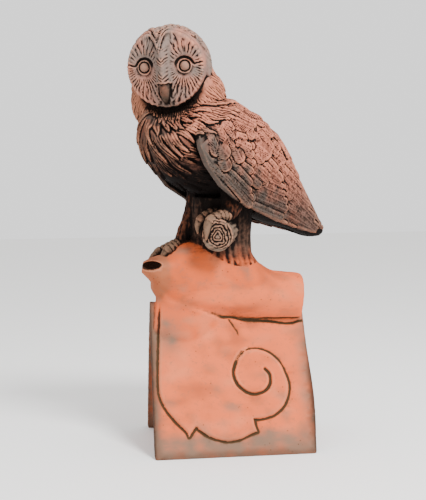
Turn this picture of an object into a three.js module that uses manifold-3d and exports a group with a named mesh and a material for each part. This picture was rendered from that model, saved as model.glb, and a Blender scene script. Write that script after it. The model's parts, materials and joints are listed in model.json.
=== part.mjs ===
import * as THREE from 'three';
import { mergeVertices } from 'three/addons/utils/BufferGeometryUtils.js';
import Module from 'manifold-3d';

// A ridge tile of fired clay with a barn owl on it, in millimetres.
// X runs along the ridge, Y away from the front slope and Z up.

const wasm = await Module();
wasm.setup();

// Tile
const tileLength = 234; // at the feet
const footHalfSpan = 106; // ridge line to the outer edge of a foot
const slopeHeight = 182; // height at which the slope is measured
const slopeTopHalfSpan = 29; // ridge line to the slope at that height
const ridgeRise = 32; // the slopes run on this far up inside the roll
const tileWall = 19.5; // thickness of a foot
const tileEdgeRound = 4;
const tileEndDraw = 2; // the ends are drawn in this much at the top
const tileRightSwell = 5; // the right end swells out this much low on the slopes
const hollowTopHalfWidth = 12;
const hollowHeight = 172;

// Roll along the ridge
const rollRadius = 42;
const rollFall = 0.13; // it drops this much for each unit of length
const rollHeight = 226; // axis at mid-length
const rollOverhang = -3; // past the right end of the tile
const rollEndRound = 7;

// Raised leaf on the slopes
const leafThickness = 5;
const leafSink = 4; // buried in the slope
const leafEdgeRound = 2;
const grooveWidth = 4.5;
const grooveDepth = 3.2;
const voluteX = 38; // centre, from mid-length
const voluteUp = 112; // centre, up the slope from the foot
const voluteRadii = [59, 47, 45.5, 34, 24, 20, 18.5]; // a quarter turn apart, from the outer end in
const voluteStart = -84; // direction of the outer end, in degrees

// Owl
const owlHeight = 356; // lowest claw to crown
const owlUnits = 356; // the figure's own points are shares of its height, in this many units
const owlHeading = 32; // degrees that it is turned from the ridge
const owlX = -28; // where it stands, from mid-length
const owlY = -20; // and from the ridge line
const perchRise = 43; // stand above the axis of the roll there
const breastTuft = 3.4;
const wingFeather = 3.2;
const wingThickness = 11;
const eyeRadius = 8.5;
const lidThickness = 2.3;

const clay = new THREE.MeshStandardMaterial({ color: 0xb8735a, roughness: 0.85, metalness: 0 });

const degrees = Math.PI / 180;
const vec = (x, y, z) => new THREE.Vector3(x, y, z);
const mix = (a, b, share) => a + (b - a) * share;
const bell = (distance, width) => Math.exp(-((distance / width) ** 2));
const rollAxisHeight = (x) => rollHeight - rollFall * x;

// Solids and joins
function solid(geometry) {
  const bare = geometry.clone();
  bare.deleteAttribute('normal');
  bare.deleteAttribute('uv');
  const merged = mergeVertices(bare, 1e-4);
  const mesh = new wasm.Mesh({
    numProp: 3,
    vertProperties: new Float32Array(merged.attributes.position.array),
    triVerts: new Uint32Array(merged.index.array),
  });
  return new wasm.Manifold(mesh);
}

function geometryOf(body) {
  const mesh = body.getMesh();
  const geometry = new THREE.BufferGeometry();
  geometry.setAttribute('position', new THREE.BufferAttribute(mesh.vertProperties, 3));
  geometry.setIndex(new THREE.BufferAttribute(mesh.triVerts, 1));
  return geometry;
}

// A closed skin over rings of points, with a fan at each end
function skin(rings) {
  const count = rings[0].length;
  const positions = rings.flatMap((ring) => ring.flatMap((point) => point.toArray()));
  const index = [];
  for (let row = 0; row < rings.length - 1; row += 1) {
    for (let i = 0; i < count; i += 1) {
      const a = row * count + i;
      const b = row * count + ((i + 1) % count);
      index.push(a, b, a + count, b, b + count, a + count);
    }
  }
  for (const row of [0, rings.length - 1]) {
    const middle = vec(0, 0, 0);
    rings[row].forEach((point) => middle.addScaledVector(point, 1 / count));
    const pole = positions.length / 3;
    positions.push(...middle.toArray());
    for (let i = 0; i < count; i += 1) {
      const a = row * count + i;
      const b = row * count + ((i + 1) % count);
      index.push(pole, ...(row === 0 ? [b, a] : [a, b]));
    }
  }
  const geometry = new THREE.BufferGeometry();
  geometry.setAttribute('position', new THREE.Float32BufferAttribute(positions, 3));
  geometry.setIndex(index);
  return facingOut(geometry);
}

function facingOut(geometry) {
  const at = geometry.attributes.position;
  const index = geometry.index.array;
  const corner = [vec(0, 0, 0), vec(0, 0, 0), vec(0, 0, 0)];
  let volume = 0;
  for (let i = 0; i < index.length; i += 3) {
    corner.forEach((point, k) => point.fromBufferAttribute(at, index[i + k]));
    volume += corner[0].dot(corner[1].cross(corner[2]));
  }
  if (volume < 0) {
    for (let i = 0; i < index.length; i += 3) {
      [index[i], index[i + 1]] = [index[i + 1], index[i]];
    }
  }
  return geometry;
}

// A smooth run through keys of [x, y, z, half width, half depth]
function course(keys) {
  const path = new THREE.CatmullRomCurve3(keys.map((key) => vec(key[0], key[1], key[2])), false, 'catmullrom');
  const girth = new THREE.CatmullRomCurve3(keys.map((key) => vec(key[3], key[4], 0)), false, 'catmullrom');
  return { path, girth };
}

const bendShare = 0.14; // rings turn with the run's course over this share of it, so that they never cross

// Point of a limb at share t of its length and an angle round it, lifted by rise.
// The width lies along side and the depth square to it.
function limbPoint({ path, girth }, side, t, angle, rise) {
  const ahead = path.getPoint(Math.min(t + bendShare, 1));
  const along = ahead.sub(path.getPoint(Math.max(t - bendShare, 0))).normalize();
  const across = side.clone().addScaledVector(along, -side.dot(along)).normalize();
  const deep = across.clone().cross(along);
  const half = girth.getPoint(Math.min(Math.max(t, 0), 1));
  return path.getPoint(Math.min(Math.max(t, 0), 1))
    .addScaledVector(across, (half.x + rise) * Math.sin(angle))
    .addScaledVector(deep, (half.y + rise) * Math.cos(angle));
}

function limb(keys, side, rows, around) {
  const run = course(keys);
  const rings = [];
  for (let row = 0; row <= rows; row += 1) {
    const ring = [];
    for (let i = 0; i < around; i += 1) {
      ring.push(limbPoint(run, side, row / rows, (i / around) * 2 * Math.PI, 0));
    }
    rings.push(ring);
  }
  return skin(rings);
}

// Rows of overlapping feathers: for each row a low line at its root and a high one at its scalloped tip.
// Each line gives its place and its rise at every half feather.
function featherLines(rowEnds, start, columns, rise, scallop) {
  const lines = [];
  let last = Array.from({ length: columns + 1 }, () => start);
  rowEnds.forEach((end, row) => {
    const begin = row === 0 ? start : rowEnds[row - 1];
    const growth = mix(0.55, 1, row / rowEnds.length);
    const centre = (i) => (i + row) % 2 === 0;
    lines.push({ at: last, rise: last.map(() => 0) });
    const step = end - begin;
    const depth = row === rowEnds.length - 1 ? 0 : scallop * step;
    const tip = last.map((_, i) => end + (centre(i) ? depth : -depth));
    lines.push({ at: tip, rise: tip.map((_, i) => rise * growth * (centre(i) ? 1 : 0.35)) });
    last = tip.map((at) => at + 0.04 * step);
  });
  return lines;
}

// Tile: an A-shaped section drawn out along the ridge
const slope = (footHalfSpan - slopeTopHalfSpan) / slopeHeight;
const slopeLength = Math.hypot(footHalfSpan - slopeTopHalfSpan, slopeHeight);

function tileBody() {
  const peak = slopeHeight + ridgeRise;
  const peakHalfSpan = slopeTopHalfSpan - slope * ridgeRise;
  const steps = 6;
  const right = Array.from({ length: steps + 1 }, (_, i) => (
    new THREE.Vector2(mix(footHalfSpan, peakHalfSpan, i / steps), mix(0, peak, i / steps))
  ));
  const left = right.map((point) => new THREE.Vector2(-point.x, point.y)).reverse();
  const outline = new THREE.Shape([...right, ...left]);
  const outer = new THREE.ExtrudeGeometry(outline, {
    depth: tileLength - 2 * tileEdgeRound,
    bevelThickness: tileEdgeRound,
    bevelSize: tileEdgeRound,
    bevelOffset: -tileEdgeRound,
    bevelSegments: 2,
  });
  outer.translate(0, 0, tileEdgeRound - tileLength / 2);
  const at = outer.attributes.position;
  for (let i = 0; i < at.count; i += 1) {
    const height = at.getY(i) / peak;
    const end = (2 * at.getZ(i)) / tileLength;
    const swell = Math.max(0, end) * tileRightSwell * bell(height - 0.34, 0.28);
    at.setZ(i, at.getZ(i) + swell - end * tileEndDraw * height ** 2);
  }
  return solid(alongRidge(outer));
}

// Hollow under the ridge, open at both ends and below
function hollow() {
  const footInside = footHalfSpan - tileWall;
  const hollowRun = tileLength + 4 * tileRightSwell;
  const arch = new THREE.Shape();
  arch.moveTo(-footInside, -tileWall);
  arch.lineTo(footInside, -tileWall);
  arch.lineTo(footInside, 0);
  arch.lineTo(hollowTopHalfWidth, hollowHeight);
  arch.absarc(0, hollowHeight, hollowTopHalfWidth, 0, Math.PI, false);
  arch.lineTo(-footInside, 0);
  arch.closePath();
  const inner = new THREE.ExtrudeGeometry(arch, { depth: hollowRun, bevelEnabled: false, curveSegments: 6 });
  inner.translate(0, 0, -hollowRun / 2);
  return solid(alongRidge(inner));
}

// Turns a section drawn in X and Y, and drawn out in Z, to stand on the ridge
function alongRidge(geometry) {
  return geometry.applyMatrix4(new THREE.Matrix4().makeBasis(vec(0, 1, 0), vec(0, 0, 1), vec(1, 0, 0)));
}

// Frame of a slope: its X is the tile's, its Y runs up the slope and its Z out of the clay
function slopeFrame(front) {
  const up = vec(0, footHalfSpan - slopeTopHalfSpan, slopeHeight).normalize();
  const frame = new THREE.Matrix4().makeBasis(vec(1, 0, 0), up, vec(1, 0, 0).cross(up));
  frame.setPosition(0, -footHalfSpan, 0);
  return front ? frame : new THREE.Matrix4().makeRotationZ(Math.PI).multiply(frame);
}

const voluteSteps = 14; // along the part of the volute that is the leaf's own edge
const grooveStart = 0.42; // share of the volute at which the groove takes over from that edge
const voluteCurve = new THREE.SplineCurve(voluteRadii.map((radius, i) => new THREE.Vector2(radius, i * 90)));

function volutePoint(share) {
  const place = voluteCurve.getPoint(share);
  const angle = (voluteStart + place.y) * degrees;
  return new THREE.Vector2(voluteX + place.x * Math.cos(angle), voluteUp + place.x * Math.sin(angle));
}

// Point of a leaf's outline: share of the tile's length from its middle, and of the slope's from the foot
const leafAt = (along, up) => [along * tileLength, up * slopeLength];

function leaf(frame) {
  const outline = new THREE.Shape();
  outline.moveTo(...leafAt(-0.465, 1.134));
  outline.quadraticCurveTo(...leafAt(-0.486, 0.759), ...leafAt(-0.469, 0.521));
  outline.quadraticCurveTo(...leafAt(-0.456, 0.374), ...leafAt(-0.311, 0.197));
  outline.lineTo(...leafAt(-0.29, 0.157));
  outline.quadraticCurveTo(...leafAt(-0.273, 0.197), ...leafAt(-0.239, 0.228));
  outline.bezierCurveTo(...leafAt(-0.149, 0.116), ...leafAt(0.005, 0.091), ...leafAt(0.133, 0.182));
  outline.quadraticCurveTo(...leafAt(0.12, 0.223), ...leafAt(0.116, 0.268));
  for (let step = 0; step <= voluteSteps; step += 1) {
    const point = volutePoint((step / voluteSteps) * grooveStart);
    outline.lineTo(point.x, point.y);
  }
  outline.quadraticCurveTo(...leafAt(0.06, 0.86), ...leafAt(0.047, 0.926));
  outline.quadraticCurveTo(...leafAt(0.017, 1.022), ...leafAt(-0.034, 1.083));
  outline.closePath();
  const slab = new THREE.ExtrudeGeometry(outline, {
    depth: leafThickness + leafSink - leafEdgeRound,
    bevelThickness: leafEdgeRound,
    bevelSize: leafEdgeRound,
    bevelOffset: -leafEdgeRound,
    bevelSegments: 1,
    curveSegments: 5,
  });
  slab.translate(0, 0, -leafSink);
  return solid(slab.applyMatrix4(frame));
}

// Groove that carries the volute on into its eye
function voluteGroove(frame) {
  const steps = 22;
  const rings = [];
  for (let step = 0; step <= steps; step += 1) {
    const share = mix(grooveStart, 1, step / steps);
    const middle = volutePoint(share);
    const ahead = volutePoint(share + 0.001).sub(volutePoint(share - 0.001)).normalize();
    const half = (grooveWidth / 2) * Math.sqrt(Math.max(0.08, 1 - (step / steps) ** 4));
    const bottom = leafThickness - grooveDepth;
    const top = leafThickness + grooveDepth;
    const corner = (side, height) => vec(middle.x - ahead.y * side, middle.y + ahead.x * side, height);
    const floor = [corner(half * 0.4, bottom), corner(-half * 0.4, bottom)];
    rings.push([corner(half * 1.5, top), ...floor, corner(-half * 1.5, top)]);
  }
  return solid(skin(rings).applyMatrix4(frame));
}

// Roll: a branch that lies along the ridge, whole at the right end
function roll() {
  const right = tileLength / 2 + rollOverhang;
  const left = -0.4 * tileLength;
  const inner = right - 3 * rollEndRound;
  const run = course([[0, 0.86], [0.3, 1.05], [0.65, 1], [1, 1]].map(([share, girth]) => {
    const x = mix(left, inner, share);
    return [x, 0, rollAxisHeight(x), girth * rollRadius, girth * rollRadius];
  }));
  const side = vec(0, 1, 0);
  const around = 22;
  const rings = [];
  const ring = (t, rise, shift) => Array.from({ length: around }, (_, i) => (
    limbPoint(run, side, t, (i / around) * 2 * Math.PI, rise).add(vec(shift, 0, -rollFall * shift))
  ));
  for (let row = 0; row <= 5; row += 1) {
    rings.push(ring(row / 5, 0, 0));
  }
  for (let step = 0; step <= 3; step += 1) {
    const turn = (step / 3) * 90 * degrees;
    rings.push(ring(1, rollEndRound * (Math.cos(turn) - 1), 2 * rollEndRound + rollEndRound * Math.sin(turn)));
  }
  return solid(skin(rings));
}

// Keys of the branch's swellings: x as a share of the tile's length from its left end, and the rest
// in radii of the roll: y, the height above the axis at that end, the half width and the half depth
const branchKeys = (keys) => keys.map(([x, y, rise, halfWidth, halfDepth]) => [
  (x - 0.5) * tileLength,
  y * rollRadius,
  rollAxisHeight(-tileLength / 2) + rise * rollRadius,
  halfWidth * rollRadius,
  halfDepth * rollRadius,
]);

// Broken end of the branch: a lip that runs out to the left, with a hollow along its front
function brokenEnd() {
  const keys = branchKeys([
    [0.222, -0.05, 0, 1, 1],
    [0.14, -0.14, 0.22, 0.9, 0.86],
    [0.06, -0.26, 0.54, 0.76, 0.58],
    [-0.038, -0.24, 0.66, 0.45, 0.2],
  ]);
  const lip = solid(limb(keys, vec(0, 1, 0), 6, 18));
  const [x, y, z, halfRun, halfRise] = branchKeys([[0.021, -0.66, 0.72, 0.38, 0.13]])[0];
  const dish = new THREE.SphereGeometry(1, 12, 8).scale(halfRun, halfRun, halfRise).translate(x, y, z);
  return lip.subtract(solid(dish));
}

// The clay swells from the leaf up into the branch at the left
function shoulder() {
  const keys = branchKeys([
    [0.04, -0.44, -0.72, 0.9, 0.2],
    [0.134, -0.46, -0.76, 1.2, 0.31],
    [0.288, -0.46, -0.81, 1.15, 0.28],
    [0.45, -0.4, -0.88, 0.6, 0.12],
  ]);
  return solid(limb(keys, vec(0, 0.38, 0.92), 5, 12));
}

// Mound that carries the feet, from the trunk out to the broken end
function mound() {
  const keys = branchKeys([
    [0.8, 0, -0.5, 0.8, 0.76],
    [0.6, 0, -0.02, 0.98, 1],
    [0.35, -0.05, 0.31, 1.05, 1.25],
    [0.188, -0.1, 0.25, 1, 1.2],
    [0.09, -0.12, 0.37, 0.83, 0.84],
  ]);
  return solid(limb(keys, vec(0, 1, 0), 7, 18));
}

// Figure: points are in its own units, above the place where it stands
const figure = owlHeight / owlUnits;
const inFigure = (length) => length / figure;
const stand = new THREE.Matrix4()
  .makeTranslation(owlX, owlY, rollAxisHeight(owlX) + perchRise)
  .scale(vec(figure, figure, figure));
const facing = stand.clone().multiply(new THREE.Matrix4().makeRotationZ(owlHeading * degrees));

// Body from the neck to the tail, with pointed tufts down the breast.
// In its own frame X runs to the tail and Y to its right.
const bodyKeys = [
  [-58, 6, 302, 20, 20],
  [-52, 8, 262, 30, 34],
  [-41, 7, 236, 46, 60],
  [-42, 0, 212, 65, 74],
  [-30, 0, 191, 73, 74],
  [8, 0, 170, 73, 70],
  [60, 0, 147, 63, 60],
  [115, 0, 115, 47, 42],
  [165, 0, 86, 32, 24],
  [202, 0, 62, 24, 14],
  [224, 0, 50, 16, 8],
];

function body() {
  const run = course(bodyKeys);
  const columns = 24;
  const rowEnds = Array.from({ length: 9 }, (_, row) => mix(0.17, 0.66, (row + 1) / 9));
  const lines = featherLines(rowEnds, 0.12, columns, inFigure(breastTuft), 0.22);
  lines.unshift({ at: Array(columns + 1).fill(0), rise: Array(columns + 1).fill(0) });
  for (const t of [0.74, 0.82, 0.91, 1]) {
    lines.push({ at: Array(columns + 1).fill(t), rise: Array(columns + 1).fill(0) });
  }
  const rings = lines.map((line) => Array.from({ length: columns }, (_, i) => (
    limbPoint(run, vec(0, -1, 0), line.at[i], (i / columns) * 2 * Math.PI, line.rise[i])
  )));
  return solid(skin(rings).applyMatrix4(facing));
}

// Tail under the closed wings
function tail() {
  const keys = [
    [86, 0, 94, 36, 24],
    [125, 0, 76, 32, 20],
    [165, 0, 62, 27, 16],
    [206, 0, 46, 21, 13],
    [234, 0, 40, 9, 7],
  ];
  return solid(limb(keys, vec(0, -1, 0), 6, 16).applyMatrix4(facing));
}

// Wing stations from the wrist to the tip:
// the midline of the back [x, z], the lower edge [x, y, z] and how far the side swells
const wingKeys = [
  [-4, 240, -66, 67, 196, 0.04],
  [23, 244, -74, 82, 170, 0.05],
  [42, 236, -62, 82, 145, 0.08],
  [65, 224, -33, 77, 116, 0.2],
  [99, 199, 5, 67, 95, 0.36],
  [124, 172, 54, 54, 78, 0.46],
  [147, 140, 110, 42, 61, 0.46],
  [179, 101, 160, 30, 49, 0.46],
  [204, 68, 200, 21, 41, 0.46],
  [228, 48, 223, 12, 38, 0.3],
];
const farWingTuck = 0.09; // the wrist of the far wing is drawn back by this share of the height

function wingSection(s) {
  const place = Math.min(Math.max(s, 0), 1) * (wingKeys.length - 1);
  const low = Math.min(Math.floor(place), wingKeys.length - 2);
  const [backX, backZ, edgeX, edgeY, edgeZ, swell] = wingKeys[low].map((value, i) => (
    mix(value, wingKeys[low + 1][i], place - low)
  ));
  return { backX, backZ, edgeX, edgeY, edgeZ, swell };
}

function wingPoint(s, turn, rise, hand) {
  const { backX, backZ, edgeX, edgeY, edgeZ, swell } = wingSection(s);
  const up = Math.sign(Math.cos(turn)) * Math.abs(Math.cos(turn)) ** 0.75;
  const out = Math.sign(Math.sin(turn)) * Math.abs(Math.sin(turn)) ** 0.8 + swell * Math.sin(2 * turn);
  const eased = rise - 15 * Math.exp(-s / 0.02);
  const tuck = hand > 0 ? farWingTuck * owlUnits * Math.max(0, 1 - 2 * s) : 0;
  return vec(
    edgeX + tuck + (backX - edgeX - tuck) * up,
    hand * (edgeY * out + eased * Math.sin(turn)),
    edgeZ + (backZ - edgeZ) * up + eased * Math.cos(turn),
  );
}

function wing(hand) {
  const columns = 14;
  const inside = 4;
  const rowEnds = [0.07, 0.14, 0.22, 0.3, 0.39, 0.5, 0.66, 0.82, 1];
  const lines = featherLines(rowEnds, 0, columns, inFigure(wingFeather), 0.2);
  const turnAt = (share) => mix(-6, 90, share) * degrees;
  const rings = lines.map((line) => {
    const ring = [];
    for (let i = 0; i <= columns; i += 1) {
      ring.push(wingPoint(line.at[i], turnAt(i / columns), line.rise[i], hand));
    }
    for (let i = inside; i >= 0; i -= 1) {
      const at = line.at[Math.round((i / inside) * columns)];
      const thickness = Math.min(inFigure(wingThickness), 0.95 * wingSection(at).edgeY);
      ring.push(wingPoint(at, turnAt(i / inside), -thickness, hand));
    }
    return ring;
  });
  return solid(skin(rings).applyMatrix4(facing));
}

// Head: a ball with a heart-shaped face pressed into it.
// In its own frame X is to the right of someone facing it, Y up and Z out of the face.
const headPlace = vec(-55.6, -34.2, 289);
const headTurn = 12; // degrees from the front of the tile towards its left end
const headNod = 5;
const headTilt = 3.4;
const headHalf = vec(59.5, 58, 56);
const eyeSide = 0.0815 * owlUnits;
const eyeUp = 0.0112 * owlUnits;

const headFrame = (() => {
  const outward = vec(
    -Math.sin(headTurn * degrees) * Math.cos(headNod * degrees),
    -Math.cos(headTurn * degrees) * Math.cos(headNod * degrees),
    -Math.sin(headNod * degrees),
  );
  const right = vec(Math.cos(headTurn * degrees), -Math.sin(headTurn * degrees), 0);
  const frame = new THREE.Matrix4().makeBasis(right, outward.clone().cross(right), outward);
  frame.multiply(new THREE.Matrix4().makeRotationZ(headTilt * degrees));
  return stand.clone().multiply(frame.setPosition(headPlace));
})();

// Rim of the face round its middle, dipping between the brows
const faceRim = (angle) => 54 - 15 * bell((angle / degrees - 97) / 1, 11) + 1.5 * Math.cos(2 * angle);

// Surface of the face: a shallow dish round each eye, and a ridge between them down to the bill
function faceHeight(x, y) {
  const out = Math.hypot(x, y);
  const plate = 30 + 12 * (1 - (out / 54) ** 2);
  const eyeDish = 9 * Math.exp(-(((Math.abs(x) - 27) / 16) ** 2) - ((y - 3) / 18) ** 2);
  const cheekDish = 4 * Math.exp(-(((Math.abs(x) - 20) / 14) ** 2) - ((y + 26) / 15) ** 2);
  const ridge = 10 * bell(x, 9) * bell(Math.max(0, y - 12), 26) * bell(Math.min(0, y + 12), 10);
  return plate - eyeDish - cheekDish + ridge;
}

function head() {
  const around = 28;
  const faceSteps = [0.16, 0.32, 0.48, 0.63, 0.78, 0.91];
  const backSteps = 8;
  const rings = [];
  const turns = Array.from({ length: around }, (_, i) => (i / around) * 2 * Math.PI);
  const ring = (pointAt) => rings.push(turns.map(pointAt));
  for (const step of faceSteps) {
    ring((angle) => {
      const x = faceRim(angle) * step * Math.cos(angle);
      const y = faceRim(angle) * step * Math.sin(angle);
      return vec(x, y, faceHeight(x, y));
    });
  }
  for (let step = 0; step < backSteps; step += 1) {
    ring((angle) => {
      const girth = Math.hypot(headHalf.x * Math.cos(angle), headHalf.y * Math.sin(angle));
      const start = Math.asin(Math.min(0.93, faceRim(angle) / girth));
      const turn = mix(start, Math.PI - 0.12, step / (backSteps - 1));
      const ruff = 3 * bell(step, 0.6) + 2.2 * bell(step - 2, 0.6);
      const x = (headHalf.x + ruff) * Math.sin(turn) * Math.cos(angle);
      const y = (headHalf.y + ruff) * Math.sin(turn) * Math.sin(angle);
      return vec(x, y, headHalf.z * Math.cos(turn) + ruff);
    });
  }
  let shape = solid(skin(rings));
  const eye = inFigure(eyeRadius);
  const lidWidth = inFigure(lidThickness);
  for (const hand of [-1, 1]) {
    const middle = vec(hand * eyeSide, eyeUp, faceHeight(hand * eyeSide, eyeUp));
    const ball = new THREE.SphereGeometry(eye, 12, 8).translate(middle.x, middle.y, middle.z - 0.24 * eye);
    const lid = new THREE.TorusGeometry(eye + lidWidth / 2, lidWidth, 6, 14);
    shape = shape.add(solid(ball)).add(solid(lid.translate(middle.x, middle.y, middle.z)));
  }
  const bill = [[0, -2, 40, 9, 9], [0, -14, 46, 8, 9], [0, -25, 46, 6.5, 7], [0, -37, 38, 3, 4]];
  shape = shape.add(solid(limb(bill, vec(1, 0, 0), 5, 8)));
  return shape.transform(headFrame.toArray());
}

// Nape: the head runs down into the shoulders behind the face
function nape() {
  const keys = [
    [-53, -20, 300, 53, 42],
    [-48, -18, 262, 63, 48],
    [-40, -16, 235, 66, 52],
    [-34, -18, 196, 50, 46],
  ];
  const side = vec(Math.cos(headTurn * degrees), -Math.sin(headTurn * degrees), 0);
  return solid(limb(keys, side, 5, 16).applyMatrix4(stand));
}

// Legs, toes and claws, with the branch between them, in the frame of the stand
function perch() {
  const side = vec(1, 0, 0);
  const trunk = [
    [26, 18, -46, 70, 38],
    [24, 17, -14, 58, 36],
    [22, 16, 18, 46, 33],
    [22, 15, 50, 46, 33],
    [24, 12, 100, 46, 42],
  ];
  const stub = [
    [28, 10, 52, 24, 26],
    [14, -34, 47, 20.5, 22.5],
    [9, -52, 44, 21, 24],
    [8, -58, 43, 22, 25],
  ];
  return [limb(trunk, side, 6, 18), limb(stub, side, 4, 16)];
}

function feet() {
  const side = vec(1, 0, 0);
  const farLeg = [[-8, 20, 112, 20, 20], [-18, 23, 78, 14, 15], [-33, 20, 46, 11, 12], [-40, 16, 30, 10, 11]];
  const nearLeg = [[38, -24, 108, 20, 18], [30, -32, 82, 15, 15], [16, -38, 72, 10, 10]];
  const toes = [
    [[-38, 16, 31], [-51, 8, 25], [-63, 4, 17], [-72, 4, 0]],
    [[-38, 20, 31], [-58, 30, 22], [-76, 31, 13], [-90, 28, 0]],
    [[26, -38, 74], [12, -48, 72], [-5, -56, 62], [-9, -59, 38]],
    [[22, -30, 76], [0, -32, 74], [-16, -34, 62], [-18, -36, 46]],
  ];
  const toeGirths = [9, 8, 6.5, 1.8];
  const toeLimbs = toes.map((points) => (
    limb(points.map((point, i) => [...point, toeGirths[i], toeGirths[i]]), vec(0.3, 1, 0.2), 6, 8)
  ));
  return [limb(farLeg, side, 4, 12), limb(nearLeg, side, 4, 12), ...toeLimbs];
}

function ridgeTile() {
  let whole = tileBody();
  for (const front of [true, false]) {
    const frame = slopeFrame(front);
    whole = whole.add(leaf(frame));
    whole = front ? whole.subtract(voluteGroove(frame)) : whole;
  }
  whole = whole.add(roll()).add(mound()).add(brokenEnd()).add(shoulder()).subtract(hollow());
  for (const piece of [...perch(), ...feet()]) {
    whole = whole.add(solid(piece.applyMatrix4(stand)));
  }
  for (const piece of [body(), nape(), tail(), wing(-1), wing(1), head()]) {
    whole = whole.add(piece);
  }
  return geometryOf(whole);
}

// The origin is under the middle of the whole, on the surface that it stands on
const geometry = ridgeTile();
geometry.computeBoundingBox();
const low = geometry.boundingBox.min;
const high = geometry.boundingBox.max;
geometry.translate(-(low.x + high.x) / 2, -(low.y + high.y) / 2, -low.z);

const owlRidgeTile = new THREE.Mesh(geometry, clay);
owlRidgeTile.name = 'owl_ridge_tile';
const model = new THREE.Group();
model.add(owlRidgeTile);

export default model;
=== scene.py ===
import json
import math

import bpy
import numpy as np
from mathutils import Matrix, Vector
from mathutils.bvhtree import BVHTree
from mathutils.kdtree import KDTree


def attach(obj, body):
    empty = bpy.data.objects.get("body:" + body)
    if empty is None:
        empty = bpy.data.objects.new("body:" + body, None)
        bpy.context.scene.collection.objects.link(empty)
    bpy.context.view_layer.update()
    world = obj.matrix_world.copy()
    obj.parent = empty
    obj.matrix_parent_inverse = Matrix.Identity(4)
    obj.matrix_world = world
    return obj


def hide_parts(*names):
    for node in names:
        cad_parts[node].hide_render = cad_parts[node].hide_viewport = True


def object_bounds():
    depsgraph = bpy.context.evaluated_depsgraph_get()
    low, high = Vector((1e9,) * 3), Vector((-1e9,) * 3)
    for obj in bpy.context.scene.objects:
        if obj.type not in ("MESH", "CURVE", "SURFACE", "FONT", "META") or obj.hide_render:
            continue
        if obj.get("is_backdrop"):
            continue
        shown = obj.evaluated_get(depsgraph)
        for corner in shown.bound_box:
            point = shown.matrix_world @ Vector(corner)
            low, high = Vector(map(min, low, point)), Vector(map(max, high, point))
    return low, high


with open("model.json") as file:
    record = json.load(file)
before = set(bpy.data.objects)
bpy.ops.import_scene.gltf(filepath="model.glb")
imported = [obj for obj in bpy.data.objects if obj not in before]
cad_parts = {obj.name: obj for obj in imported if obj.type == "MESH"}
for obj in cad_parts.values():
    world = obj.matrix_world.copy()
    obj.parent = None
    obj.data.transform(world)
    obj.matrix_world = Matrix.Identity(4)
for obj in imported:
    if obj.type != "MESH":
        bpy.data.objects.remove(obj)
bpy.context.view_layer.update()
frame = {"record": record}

# A ridge tile with a barn owl, modelled in clay and fired in one piece.
# Everything is worked out in millimetres in the tile's own frame: X along the ridge, Y away from the
# front slope and Z up from the feet. It is placed and turned to metres at the end.
# Closed shells come first, then one skin over them all, the relief pushed out of that skin, the
# colours read off its hollows, and last the thinning to the triangles that the piece may have.

surface = {
    "voxel": 1.15,  # mm between the points of the skin
    "triangles": 196000, "seed": 7,
    "rays": 8, "skyReach": 70,  # looks at the sky from each spot, and how far they go
}
degrees = math.pi / 180


def bell(distance, width):
    return np.exp(-(np.asarray(distance) / width) ** 2)


def step(x, low, high):
    t = np.clip((np.asarray(x, float) - low) / (high - low), 0, 1)
    return t * t * (3 - 2 * t)


def unit(v):
    v = np.asarray(v, float)
    return v / np.maximum(np.linalg.norm(v, axis=-1, keepdims=True), 1e-9)


# Even angles once round
def turns(count):
    return np.arange(count) / count * 2 * math.pi


def aboutZ(angle):
    made = np.eye(4)
    made[:2, :2] = [[math.cos(angle), -math.sin(angle)], [math.sin(angle), math.cos(angle)]]
    return made


# Waves of many directions laid over each other, as an even noise without a grid; size is in mm
def waves(points, size, seed, count=14):
    rng = np.random.default_rng(seed)
    way = unit(rng.normal(size=(count, 3))) / size * 2 * math.pi * rng.uniform(0.6, 1.6, (count, 1))
    return np.sin(points @ way.T + rng.uniform(0, 6.28, count)).sum(1) / math.sqrt(count)


# A smooth run through keys, the same curve as the frame's
def run(keys, t):
    keys = np.asarray(keys, float)
    t = np.clip(np.atleast_1d(np.asarray(t, float)), 0, 1) * (len(keys) - 1)
    i = np.minimum(t.astype(int), len(keys) - 2)
    w = (t - i)[:, None]
    ends = np.vstack([2 * keys[0] - keys[1], keys, 2 * keys[-1] - keys[-2]])
    a, b, c, d = ends[i], ends[i + 1], ends[i + 2], ends[i + 3]
    v0, v1 = (c - a) / 2, (d - b) / 2
    return (2 * b - 2 * c + v0 + v1) * w ** 3 + (3 * c - 3 * b - 2 * v0 - v1) * w ** 2 + v0 * w + b


# Points of a limb at shares t and angles, both the same shape. A limb's keys are x, y, z, half width
# and half depth, and side is the way that its width is measured.
def limbPoints(keys, side, t, angle, rise=0.0):
    t, angle = np.broadcast_arrays(np.asarray(t, float), np.asarray(angle, float))
    shape = t.shape
    t, angle = t.ravel(), angle.ravel()
    nearby = 0.14  # the limb's direction is taken between two spots this share before and after
    along = unit(run(keys, t + nearby)[:, :3] - run(keys, t - nearby)[:, :3])
    side = np.asarray(side, float)
    across = unit(side - (along @ side)[:, None] * along)
    deep = np.cross(across, along)
    at = run(keys, t)
    out = (at[:, :3] + across * ((at[:, 3] + rise) * np.sin(angle))[:, None]
           + deep * ((at[:, 4] + rise) * np.cos(angle))[:, None])
    return out.reshape(shape + (3,))


# The closed shells, each with the zone it belongs to and every face's share of the way along it
zoneNames = ["tile", "roll", "mound", "break", "body", "nearWing", "farWing", "tail", "head", "nape", "eye",
             "bill", "trunk", "stub", "leg", "toe"]
zone = {name: i for i, name in enumerate(zoneNames)}
shellPoints, shellFaces, shellZones, shellRuns = [], [], [], []


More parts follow.
